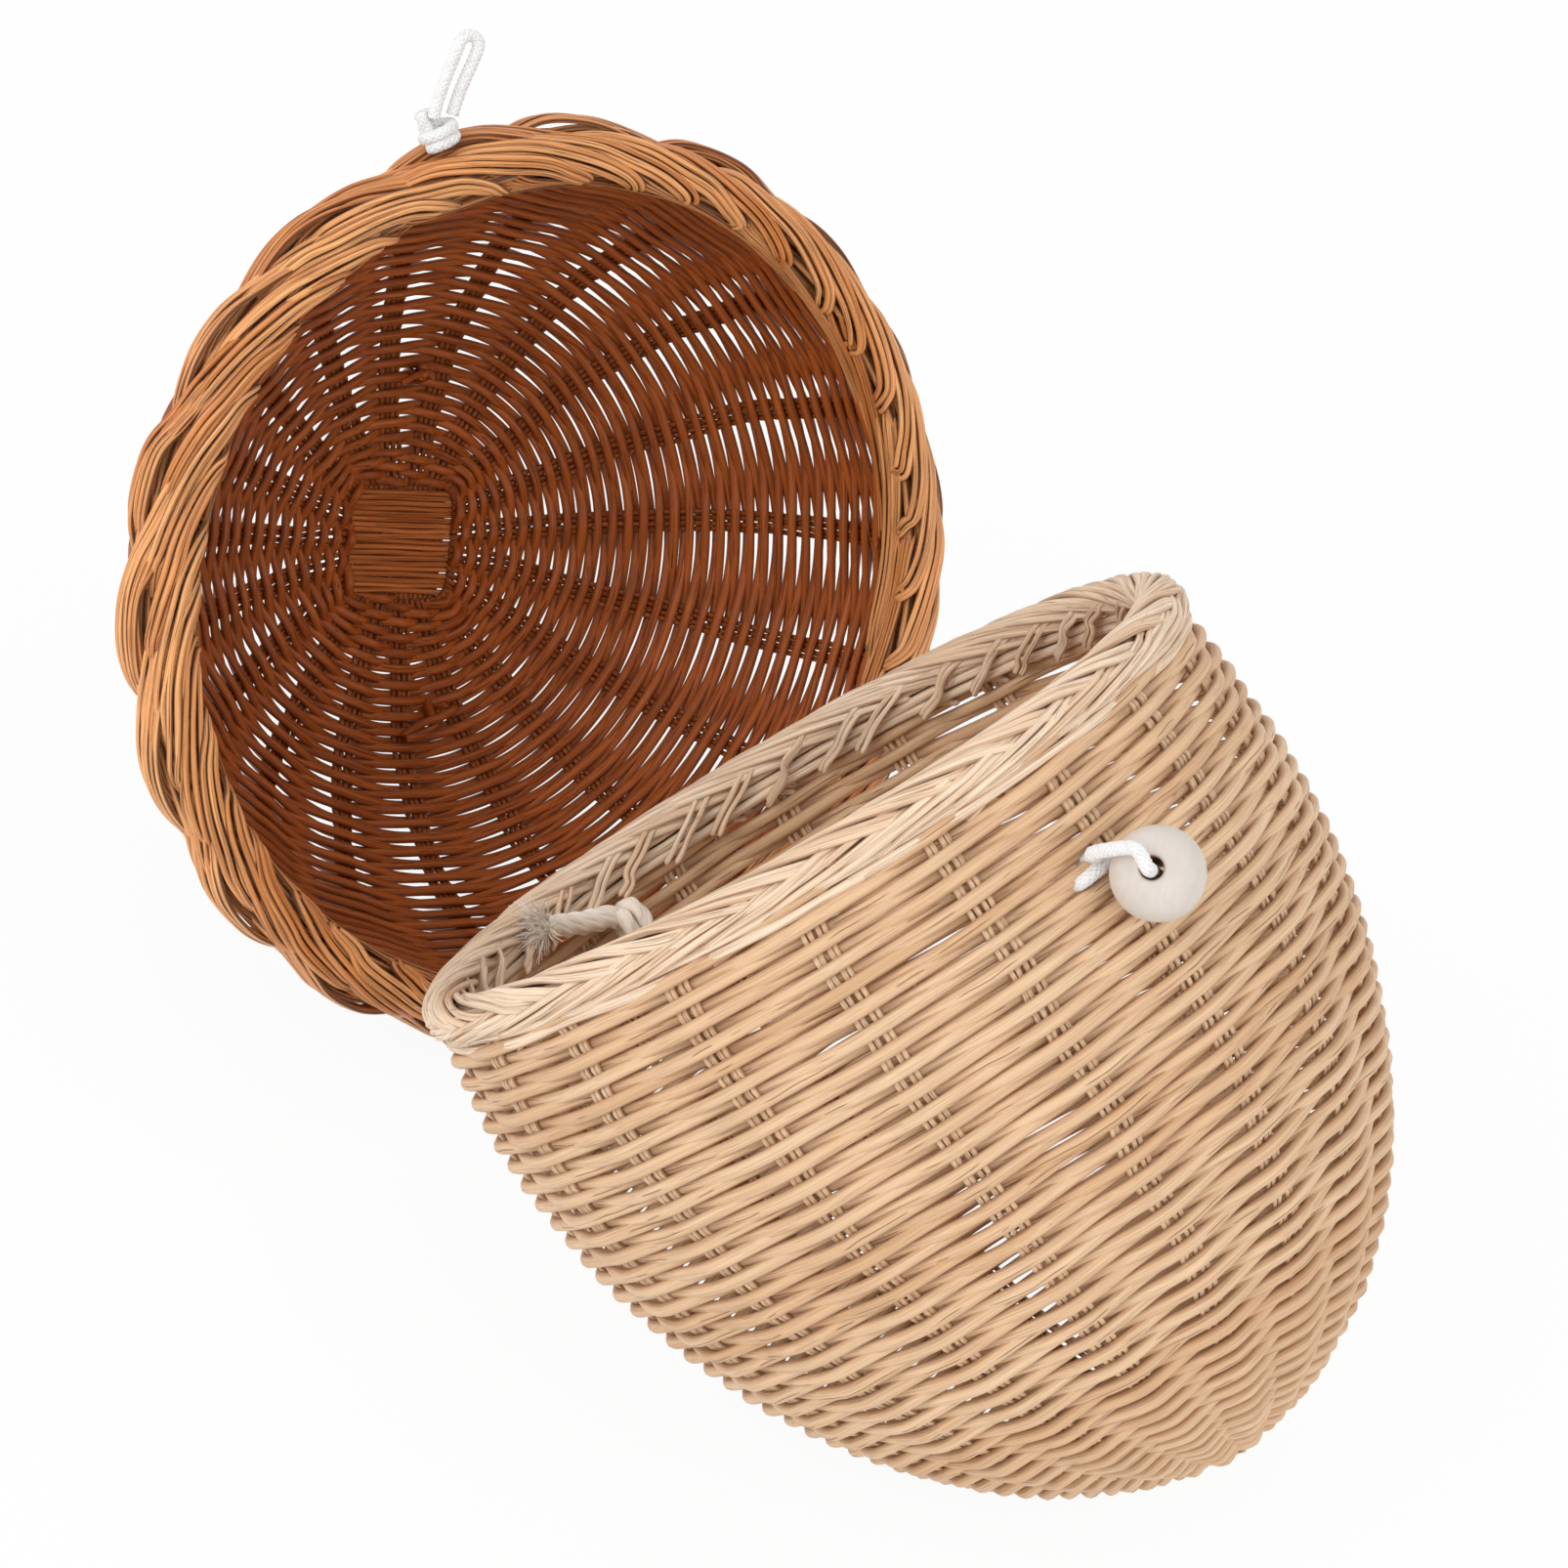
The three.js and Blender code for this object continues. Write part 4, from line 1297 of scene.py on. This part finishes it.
@dataclass
class Cords:
    """All the cords: the hinge rope, the bead's cord and the closing loop, with their knots."""

    basket: Placement
    lid: Placement
    rope_coat: Coat
    braid_coat: Coat
    rope: float = 4.8
    braid: float = 3.0
    inside: float = WIDEST - WALL - 2.4 - 0.6
    knot_radius: float = 85.0137
    knot_azimuth: float = -144.43
    knot_height: float = 163.0
    knot_length: float = 13.0
    tail_reach: float = 24.0
    tail_rise: float = 9.0
    bead_azimuth: float = FRONT - 3.3
    bead_height: float = RIM_HEIGHT - 39.0
    loop_azimuth: float = FRONT - 180 / GROUPS
    loop_knot_out: float = 4.8
    loop_knot_rise: float = 7.0

    def rope_route(self) -> Array:
        """Route of the rope from the fold through the wall, up to the knot and on to its tail.

        Returns:
            Control points.
        """
        foot = self.knot_height - self.knot_length / 2 - 0.3
        top = self.knot_height + self.knot_length / 2
        up = [
            polar(radius, HINGE, height) for radius, height in (
                (FOLD_RADIUS - 0.3, FOLD_HEIGHT), (self.inside + self.rope, FOLD_HEIGHT),
                (self.inside + self.rope / 2, FOLD_HEIGHT), (self.inside, FOLD_HEIGHT + 0.3),
            )
        ]
        up.append(polar(self.knot_radius, HINGE + 2.88, (FOLD_HEIGHT + foot) / 2 - 1))
        up += [polar(self.knot_radius, self.knot_azimuth, height) for height in (foot - 2, foot + 4, top - 3)]
        lying = RIM_RADIUS - 9.0 - self.rope / 2 - 0.3
        per_millimetre = 360 / (2 * math.pi * lying)
        for share in (0.0, 0.12, 0.4, 0.7, 1.0):
            azimuth = self.knot_azimuth + (2 + share * self.tail_reach) * per_millimetre
            height = top + (1.5 if share else 0.3) + share**1.2 * self.tail_rise
            up.append(polar(lying if share else self.knot_radius, azimuth, height))
        return np.array(up)

    def link_route(self) -> Array:
        """Route of the rope outside, from the fold up into the lid's border.

        Returns:
            Control points.
        """
        fold = FOLD_HEIGHT - LID_SEAT
        start, reach = FOLD_RADIUS + self.rope / 2, (RIM_RADIUS + 2.2 + BORDER_RADIUS) / 2
        places = (
            (start, fold + 0.3), (start, fold + self.rope), ((start + reach) / 2, fold / 2), (reach, -self.rope),
            (reach, 7.7),
        )
        return np.array([polar(radius, HINGE, height) for radius, height in places])

    def bead_frame(self) -> tuple[Array, Array]:
        """How the bead hangs.

        Returns:
            Its centre and the direction of its bore.
        """
        outward, aside = radial(self.bead_azimuth)
        centre = polar(WIDEST + 10.3, self.bead_azimuth, self.bead_height - 8.6) + aside * 4.7
        tilt = math.radians(19)
        return centre, outward @ rotation(UP, -34.0) * math.cos(tilt) + UP * math.sin(tilt)

    def bead_route(self) -> Array:
        """Route of the bead's cord: out of the wall, round the bead and into its hole.

        Returns:
            Control points.
        """
        outward, aside = radial(self.bead_azimuth)
        centre, bore = self.bead_frame()
        leaving = polar(WIDEST - WALL, self.bead_azimuth, self.bead_height)
        half, thick = BEAD_RADIUS, self.braid
        clear = half + thick / 2 + 0.6
        hug = aside * (thick / 2 - BEAD_BORE + 0.3)
        upper = aside * -0.62 + UP * 0.78
        route = [leaving + outward * out for out in (0.0, 3.0, 6.0, 7.5)]
        route += [
            centre + upper * clear * rise + outward * half * out
            for rise, out in ((1.12, -0.42), (1.1, 0.15), (0.9, 0.85))
        ]
        return np.array(route + [centre + bore * deep + hug for deep in (half + thick + 0.6, half * 0.7, -half * 0.8)])

    def loop_knot_place(self) -> Array:
        """Return the middle of the loop's knot."""
        return polar(BORDER_RADIUS + self.loop_knot_out, self.loop_azimuth, self.loop_knot_rise)

    def loop_route(self) -> Array:
        """Return the route of the closing loop: out of its knot, round its tip and back.

        A place is its share of the reach, how far it lies to the side, and how far beyond. The
        route turns aside and droops by its share.

        Returns:
            Control points.
        """
        reach, sideways, droop, half = 20.5, 12.5, 5.0, 2.6
        outward, aside = radial(self.loop_azimuth)
        start = self.loop_knot_out / reach
        legs = (start, start + 0.12, 0.55, 0.85)
        places = [(share, -half, 0.0) for share in legs]
        places += [(0.92, half * math.sin(turn), half * math.cos(turn)) for turn in np.radians((-60, 0, 60))]
        places += [(share, half, 0.0) for share in reversed(legs)]
        share, side, beyond = np.array(places).T
        turn = math.atan2(sideways, reach) * share
        out = reach * share + beyond * np.cos(turn) - side * np.sin(turn)
        across = sideways * share**1.4 + beyond * np.sin(turn) + side * np.cos(turn)
        steps = np.stack([out, across, -droop * share], axis=-1)
        return self.loop_knot_place() + steps @ np.array([outward, aside, UP])

    def lay(self, name: str, place: Placement, route: Array, kind: TwistedRope | BraidedCord,
            start: Sequence[float], *nodes: str) -> tuple[bpy.types.Object, Array]:
        """Make a cord of real strands round a plain core, along a route.

        Args:
            name: name of the piece.
            place: frame of the route.
            route: control points in millimetres.
            kind: rope or braid that gives the strands' paths.
            start: rough direction of the first normal.
            nodes: nodes that it replaces.

        Returns:
            The new object and its middle line in the scene.
        """
        middle, length = evenly_spaced(route, kind.spacing)
        full = kind.fullness(np.linspace(0, length, len(middle)))[None]
        filling = (middle[None], steady_normals(middle, start)[None], 0.5)
        surface = Surface(place).sweep(filling, kind.diameter * 0.4 * full, 1.0, 12)
        surface.sweep(kind.paths(middle, start), kind.strand_size * full, 0.85, 7)
        return surface.build(name, kind.coat, *nodes), place.world(even_curve(route, 30))

    def rope_knot(self) -> bpy.types.Object:
        """Build the rope's knot inside the basket.

        Returns:
            The knot.
        """
        place = polar(self.knot_radius, self.knot_azimuth, self.knot_height + 4.0)
        outward, aside = radial(self.knot_azimuth)
        wraps = coil(place, aside + UP * 0.22, outward, (3.3, 4.7), 4.4, 1.8)
        rope = TwistedRope(self.rope_coat, diameter=4.4, seed=15)
        return self.lay("hinge_rope_wraps", self.basket, wraps, rope, aside, "hinge_rope_knot")[0]

    def loop_knot(self) -> list[bpy.types.Object]:
        """Build the loop's knot on the lid's border, with the cord's two cut ends.

        Returns:
            The ends and the knot.
        """
        outward, aside = radial(self.loop_azimuth)
        centre, braid = self.loop_knot_place(), BraidedCord(self.braid_coat, seed=18)
        loop, node = self.lid.on(Body.LOOP), "closing_loop_knot"
        wraps = coil(centre + outward * 0.8, outward, -aside, (3.8, 2.9), 2.5, 2.0)
        turns = self.lay("closing_loop_wraps", loop, wraps, braid, outward, node)[0]
        places = ((1.0, -1.0), (2.2, 2.0), (3.0, 4.4), (3.5, 7.0))
        first = np.array([centre - aside * side + outward * out for side, out in places])
        second = first + aside * 2.2 + UP * 1.4 - outward * 0.3
        ends = [
            self.lay(f"closing_loop_end_{number}", loop, route, braid, UP, node)[0]
            for number, route in enumerate((first, second), 1)
        ]
        return ends + [turns]

    def frayed_end(self) -> bpy.types.Object:
        """Build the fluffy end of the rope: fibres that fan out and curl.

        A fibre starts within the rope's end, and its direction is the rope's plus a share of its
        own way out from the middle, with a bend that grows as the square of the length.

        Returns:
            The new object.
        """
        route = even_curve(self.rope_route(), 200)
        along = unit(route[-1] - route[-4])
        side = unit(np.cross(along, UP))
        over = np.cross(side, along)
        rng = np.random.default_rng(77)
        count, steps = 340, 9
        turn = rng.uniform(0, 2 * math.pi, count)
        out = np.sqrt(rng.uniform(0, 1, count))
        way = around(side, over, turn)
        start = route[-1] - along * 2.0 + way * (out * self.rope * 0.42)[:, None]
        heading = along + way * (out * rng.uniform(0.3, 1.5, count))[:, None] + rng.normal(0, 0.22, (count, 3))
        length = rng.uniform(3.5, 7.5, count) * np.where(rng.uniform(0, 1, count) > 0.93, 1.5, 1.0)
        points = curling(start, unit(heading), length, rng.normal(0, 1.5, (count, 3)), steps)
        paths = (points, np.broadcast_to(over, points.shape), rng.uniform(0, 0.6, (count, 1)))
        surface = Surface(self.basket).sweep(paths, 0.15 - 0.06 * np.linspace(0, 1, steps), 1.0, 4)
        return surface.build("hinge_rope_fray", self.rope_coat)

    def wall_route(self) -> Array:
        """Route of the bead cord on the wall, from its second hole to where it leaves.

        Returns:
            Control points.
        """
        per_millimetre = 360 / (2 * math.pi * WIDEST)
        along, rise, lift = np.array([
            (-5.6, -3.0, -3.4), (-4.9, -2.8, -0.6), (-3.0, -2.4, 0.7), (0.0, -2.1, 0.9), (2.2, -1.7, 0.1),
            (3.0, -1.6, -2.0),
        ]).T
        return polar(WIDEST + lift, self.bead_azimuth + along * per_millimetre, self.bead_height + rise)

    def build(self) -> None:
        """Build every cord, and pass four of them to declare, which does nothing with them."""
        knot, loop_pieces, fray = self.rope_knot(), self.loop_knot(), self.frayed_end()
        on_wall = BraidedCord(self.braid_coat, seed=28)
        self.lay("bead_cord_on_wall", self.basket, self.wall_route(), on_wall, UP)
        rope, braid = TwistedRope(self.rope_coat, swell=0.32, swell_from=38.0), BraidedCord(self.braid_coat)
        piece, path = self.lay(
            "hinge_rope_inside", self.basket, self.rope_route(), rope, UP, "hinge_rope", "hinge_rope_tail",
        )
        self.declare(piece, path, self.rope, FarEnd.BARE, [knot, fray])
        piece, path = self.lay("hinge_rope_outside", self.lid, self.link_route(), rope, (1, 0, 0), "hinge_rope_link")
        self.declare(piece, path, self.rope, FarEnd.OBJECT, [])
        bead = self.basket.on(Body.BEAD)
        piece, path = self.lay("bead_cord_braid", bead, self.bead_route(), braid, UP, "bead_cord")
        self.declare(piece, path, self.braid, FarEnd.OBJECT, [bpy.data.objects["bead_turned"]])
        loop = self.lid.on(Body.LOOP)
        piece, path = self.lay("closing_loop_braid", loop, self.loop_route(), braid, UP, "closing_loop")
        self.declare(piece, path, self.braid, FarEnd.OBJECT, loop_pieces)

    @staticmethod
    def declare(piece: bpy.types.Object, path: Array, diameter: float, far_end: FarEnd,
                with_pieces: list[bpy.types.Object]) -> None:
        """Work out the cord's diameter in metres, which nothing uses; the cord is not declared.

        Args:
            piece: the cord; not used.
            path: its middle line in the scene; not used.
            diameter: its diameter in mm.
            far_end: what is on its far end; not used.
            with_pieces: the pieces on it; not used.
        """
        diameter * MM


@dataclass
class Bead:
    """The turned bead: a ball whose profile runs on into its bore over a rounded edge."""

    coat: Coat
    cords: Cords
    edge: float = 0.5

    def profile(self) -> Array:
        """Closed profile of the bead: the ball, a rounded edge, the bore's wall and the other edge.

        Returns:
            Points of distance from the bore's axis and height along it.
        """
        lowest = math.asin((BEAD_BORE + self.edge) / BEAD_RADIUS)
        angles = np.linspace(lowest, math.pi - lowest, 60)
        outer = np.stack([np.sin(angles), np.cos(angles)], -1) * BEAD_RADIUS
        top = outer[0]
        corner = np.linspace(0, 1, 6)[1:, None]
        inside_top, middle = np.array([BEAD_BORE, top[1] - self.edge]), np.array([BEAD_BORE, top[1] + 0.05])
        fillet = (1 - corner) ** 2 * top + 2 * corner * (1 - corner) * middle + corner**2 * inside_top
        depth = np.linspace(fillet[-1, 1], -fillet[-1, 1], 14)[1:-1]
        wall = np.stack([np.full(len(depth), BEAD_BORE), depth], -1)
        return np.concatenate([outer, fillet * np.array([1, -1]), wall[::-1], fillet[::-1]])

    def build(self) -> None:
        """Build the bead as a surface of revolution: the profile turned round the bore."""
        profile = self.profile()
        dark = np.clip((BEAD_BORE + 0.6 - profile[:, 0]) / 0.6, 0, 1)
        turn = np.radians(np.arange(0, 360, 5.0))
        centre, bore = self.cords.bead_frame()
        side = unit(np.cross(bore, UP))
        ring = around(side, np.cross(bore, side), turn[:, None])
        points = centre + profile[:, None, :1] * ring.reshape(-1, 3) + profile[:, None, 1:] * bore
        index = np.arange(len(profile) * len(turn)).reshape(len(profile), len(turn))
        below = np.roll(index, -1, 0)
        quads = np.stack([index, below, np.roll(below, -1, 1), np.roll(index, -1, 1)], axis=-1).reshape(-1, 4)
        surface = Surface(self.cords.basket.on(Body.BEAD))
        surface.add(surface.place.world(points).reshape(-1, 3), np.repeat(dark, len(turn)))
        surface.add_faces(quads, np.zeros((len(quads), 4, 2)))
        surface.build("bead_turned", self.coat, "bead")


@dataclass
class Handle:
    """The handle on the lid: three stained reeds twisted together, threaded through the wall."""

    place: Placement
    coat: Coat
    reach: float = 45.0
    top: float = 111.0
    lay: float = 26.0
    spacing: float = 0.6

    def route(self) -> Array:
        """Middle line: straight between the two feet, with the height of a wide arch.

        Returns:
            Control points.
        """
        foot = LID_START + LID_REACH * math.sin(lid_angle(self.reach)) - WALL - 3.0
        near, far = polar(self.reach, HINGE, 0.0), polar(self.reach, FRONT + 180 / GROUPS, 0.0)
        share, rise = np.array([
            (0, 0), (0.04, 0.36), (0.14, 0.72), (0.3, 0.94), (0.5, 1), (0.7, 0.94), (0.86, 0.72), (0.96, 0.36), (1, 0),
        ]).T
        return near + (far - near) * share[:, None] + UP * (foot + (self.top - foot) * rise)[:, None]

    def twisted(self, name: str, route: Array, reeds: int, reed: float, out: float, seed: int) -> None:
        """Build reeds twisted round a route: each at the same distance from it, turned by its share.

        Args:
            name: name of the piece.
            route: middle line.
            reeds: number of reeds.
            reed: width of a reed.
            out: distance of a reed from the middle line.
            seed: seed of the tones.
        """
        middle, length = evenly_spaced(route, self.spacing)
        _, normal, side, _ = strand_frame(middle, (0.3, 0.9, 0.2))
        along = np.linspace(0, length, len(middle))
        away = around(normal, side, 2 * math.pi * (along / self.lay + np.arange(reeds)[:, None] / reeds))
        tones = np.random.default_rng(seed).uniform(0.1, 0.9, (reeds, 1))
        surface = Surface(self.place).sweep((middle + away * out, away, tones), reed / 2, 0.9, 10)
        surface.build(name, self.coat, "lid_handle")

    def near_end(self, foot: Array) -> Array:
        """Route of the near end inside the lid, by steps aside, outward and up.

        Args:
            foot: where it comes through the wall.

        Returns:
            Control points.
        """
        outward, aside = radial(HINGE)
        steps = (
            (0.0, 0.0, 4.0), (-1.6, -1.4, 0.2), (-3.4, -2.2, -1.0), (0.5, 0.0, -1.9), (5.5, 1.6, -1.5),
            (10.4, 3.1, -0.4),
        )
        return foot + np.array(steps) @ np.array([aside, outward, UP])

    def far_end(self, foot: Array) -> None:
        """Build the four split ends that fan out inside the lid.

        Args:
            foot: where they come through the wall.
        """
        rng = np.random.default_rng(63)
        outward = unit(foot * np.array([1, 1, 0]))
        aside = np.cross(UP, outward)
        bits = []
        for lean in (-1.0, -0.3, 0.4, 1.1):
            tip = foot + aside * (lean * 4.5 - 3.0) - outward * rng.uniform(0.5, 4) - UP * rng.uniform(0.2, 1.6)
            bits.append(even_curve(np.array([foot + UP * 4.0, foot + aside * lean, tip]), 14))
        points = np.array(bits)
        paths = (points, np.broadcast_to(-UP, points.shape), rng.uniform(0, 1, (len(bits), 1)))
        Surface(self.place).sweep(paths, 0.8, 0.9375).build("lid_handle_end_far", self.coat, "lid_handle")

    def build(self) -> None:
        """Build the handle, and its ends where they show inside the lid."""
        route = self.route()
        self.twisted("lid_handle_twist", route, 3, 2.5, 1.35, 61)
        self.twisted("lid_handle_end_near", self.near_end(route[0]), 2, 2.3, 1.2, 62)
        self.far_end(route[-1])


# Stage


@dataclass
class Studio:
    """Floor, lamps and camera."""

    camera_place: tuple[float, float, float] = (0.007778, -0.834957, 0.816150)
    right: tuple[float, float, float] = (0.9742, 0.1460, 0.1722)
    up: tuple[float, float, float] = (-0.2258, 0.6299, 0.7432)
    back: tuple[float, float, float] = (0.0, -0.7629, 0.6465)
    lens: float = 107.66
    sensor: float = 36.0
    floor_half: float = 4.0
    floor_glow: float = 0.93
    world_light: float = 0.9

    def camera(self) -> None:
        """Make the camera at the photograph's place."""
        data = bpy.data.cameras.new("camera")
        data.lens = self.lens
        data.sensor_width = self.sensor
        data.clip_end = 100
        camera = add_object("camera", data)
        matrix = np.eye(4)
        matrix[:3] = np.array([self.right, self.up, self.back, self.camera_place]).T
        camera.matrix_world = mathutils.Matrix(matrix.tolist())
        bpy.context.scene.camera = camera

    def floor(self) -> None:
        """Make the pale floor: white to the camera, and a little darker in the object's shadow."""
        shader = Shader("floor_white")
        shader.surface((0.86, 0.86, 0.86, 1), 0.9)
        path = shader.node("ShaderNodeLightPath", {}, {}, out="Is Camera Ray")
        seen = (path + path.other("Is Glossy Ray") + path.other("Is Transmission Ray")).clipped()
        glow = shader.node("ShaderNodeEmission", {}, {"Color": WHITE})
        lit = Value(shader, shader.principled.outputs[0])
        mixed = shader.node("ShaderNodeMixShader", {}, {0: seen * self.floor_glow, 1: lit, 2: glow})
        shader.connect(shader.output.inputs[0], mixed)
        half = self.floor_half
        mesh = bpy.data.meshes.new("floor")
        mesh.from_pydata([(-half, -half, 0), (half, -half, 0), (half, half, 0), (-half, half, 0)], [], [(0, 1, 2, 3)])
        mesh.materials.append(shader.material)
        add_object("floor", mesh)

    def lamp(self, name: str, place: Sequence[float], size: float, power: float) -> None:
        """Make one square lamp that shines at the object.

        Args:
            name: name of the lamp.
            place: where it hangs.
            size: length of its side.
            power: its power in watts.
        """
        data = bpy.data.lights.new(name, "AREA")
        data.shape, data.size, data.energy = "SQUARE", size, power
        direction = mathutils.Vector((0, 0, 0.08)) - mathutils.Vector(place)
        turn = direction.to_track_quat("-Z", "Y").to_matrix().to_4x4()
        add_object(name, data).matrix_world = mathutils.Matrix.Translation(place) @ turn

    def world(self) -> None:
        """Light the scene evenly from all round, white where a ray sees it."""
        world = bpy.data.worlds.new("studio")
        world.use_nodes = True
        nodes = Nodes(world.node_tree)
        background = world.node_tree.nodes["Background"]
        path = nodes.node("ShaderNodeLightPath", {}, {}, out="Is Camera Ray")
        seen = nodes.math("MAXIMUM", path, path.other("Is Transmission Ray"))
        light = nodes.node("ShaderNodeMapRange", {}, {"Value": seen, "To Min": self.world_light, "To Max": 1.0})
        nodes.connect(background.inputs["Color"], WHITE)
        nodes.connect(background.inputs["Strength"], light)
        bpy.context.scene.world = world

    def build(self) -> None:
        """Set up the whole studio."""
        self.camera()
        self.floor()
        self.world()
        self.lamp("key", (-1.2, -1.2, 1.35), 1.2, 14.0)
        self.lamp("fill", (1.3, -1.1, 1.3), 1.4, 6.5)
        bpy.context.scene.view_settings.view_transform = "Standard"


def main() -> None:
    """Build the studio, the cords, the basket and its lid."""
    logging.basicConfig(level=logging.INFO, format="%(message)s")
    pale = ReedFinish(
        "pale_reed_split", "pale_reed", "e6c49f", "d8af86", "bd8757", "a06838",
        grain_share=0.35, edge_shade_share=0.22, wear=0.35,
    ).coat()
    # Painted light: the stakes take a paler copy of the weaver's reed colour, to lift the shade they sit in between the
    # rows.
    pale_stake = ReedFinish(
        "pale_stake_split", "pale_stake", "fbdcb8", "f0caa2", "d09a68", "a26b38",
        grain_share=0.3, edge_shade_share=0.45, wear=0.3,
    ).coat()
    pale_rim = ReedFinish(
        "pale_border_split", "pale_reed", "fae2c7", "efcfae", "cf9e72", "965d2c",
        grain_share=0.7, edge_shade_share=0.4, wear=0.5,
    ).coat()
    brown = ReedFinish(
        "brown_reed_stained", "brown_reed", "be6426", "9e4e19", "692d0b", "3f1805", 0.42, edge_shade_share=0.3, gloss=0.35,
    ).coat()
    brown_stake = ReedFinish(
        "brown_stake_stained", "brown_stake", "b05e24", "904617", "602d0b", "3c1805", 0.45, gloss=0.35,
    ).coat()
    brown_cross = ReedFinish(
        "brown_cross_stained", "brown_stake", "dc8040", "bd682d", "84451a", "4a2008", 0.42, gloss=0.35,
    ).coat()
    tan = ReedFinish(
        "tan_border_stained", "tan_border", "ffb876", "dd8743", "823c10", "3e1904", 0.26,
        grain_share=0.9, edge_shade_share=0.9,
    ).coat()
    cream = CordFinish("cream_cotton", "cream_rope", "faf0e3", "ead9c2").coat()
    white = CordFinish("white_braid", "white_cord", "f4f3f3", "dedcdb").coat()
    bead_white = BeadFinish("white_wood", "white_bead", "d8cfc7", "ccc1b6", "8f6f55").coat()

    Studio().build()
    basket, lid = Rest().basket(), Rest().lid()
    cords = Cords(basket, lid, cream, white)
    Bead(bead_white, cords).build()
    cords.build()
    basket_weave = Weave(basket_profile(), dip=6.3, lean=(-5.7, 7.0, -0.6))
    pale_cross = Coat(pale.material, "pale_stake")
    Half(basket, basket_weave, basket_border(), pale, pale_stake, pale_cross, pale_rim, bands=3, hair_seed=91).build()
    lid_weave = Weave(
        lid_profile(), reed=2.36, swing=1.76, pitch=(2.05, 2.1), stake_reed=1.45, stake_gap=0.1,
        tight=(0.08, 215.0), slant=0.32, seed=2,
    )
    Half(lid, lid_weave, lid_border(), brown, brown_stake, brown_cross, tan, bands=2, hair_seed=92).build()
    Handle(lid, brown).build()


if __name__ == "__main__":
    main()
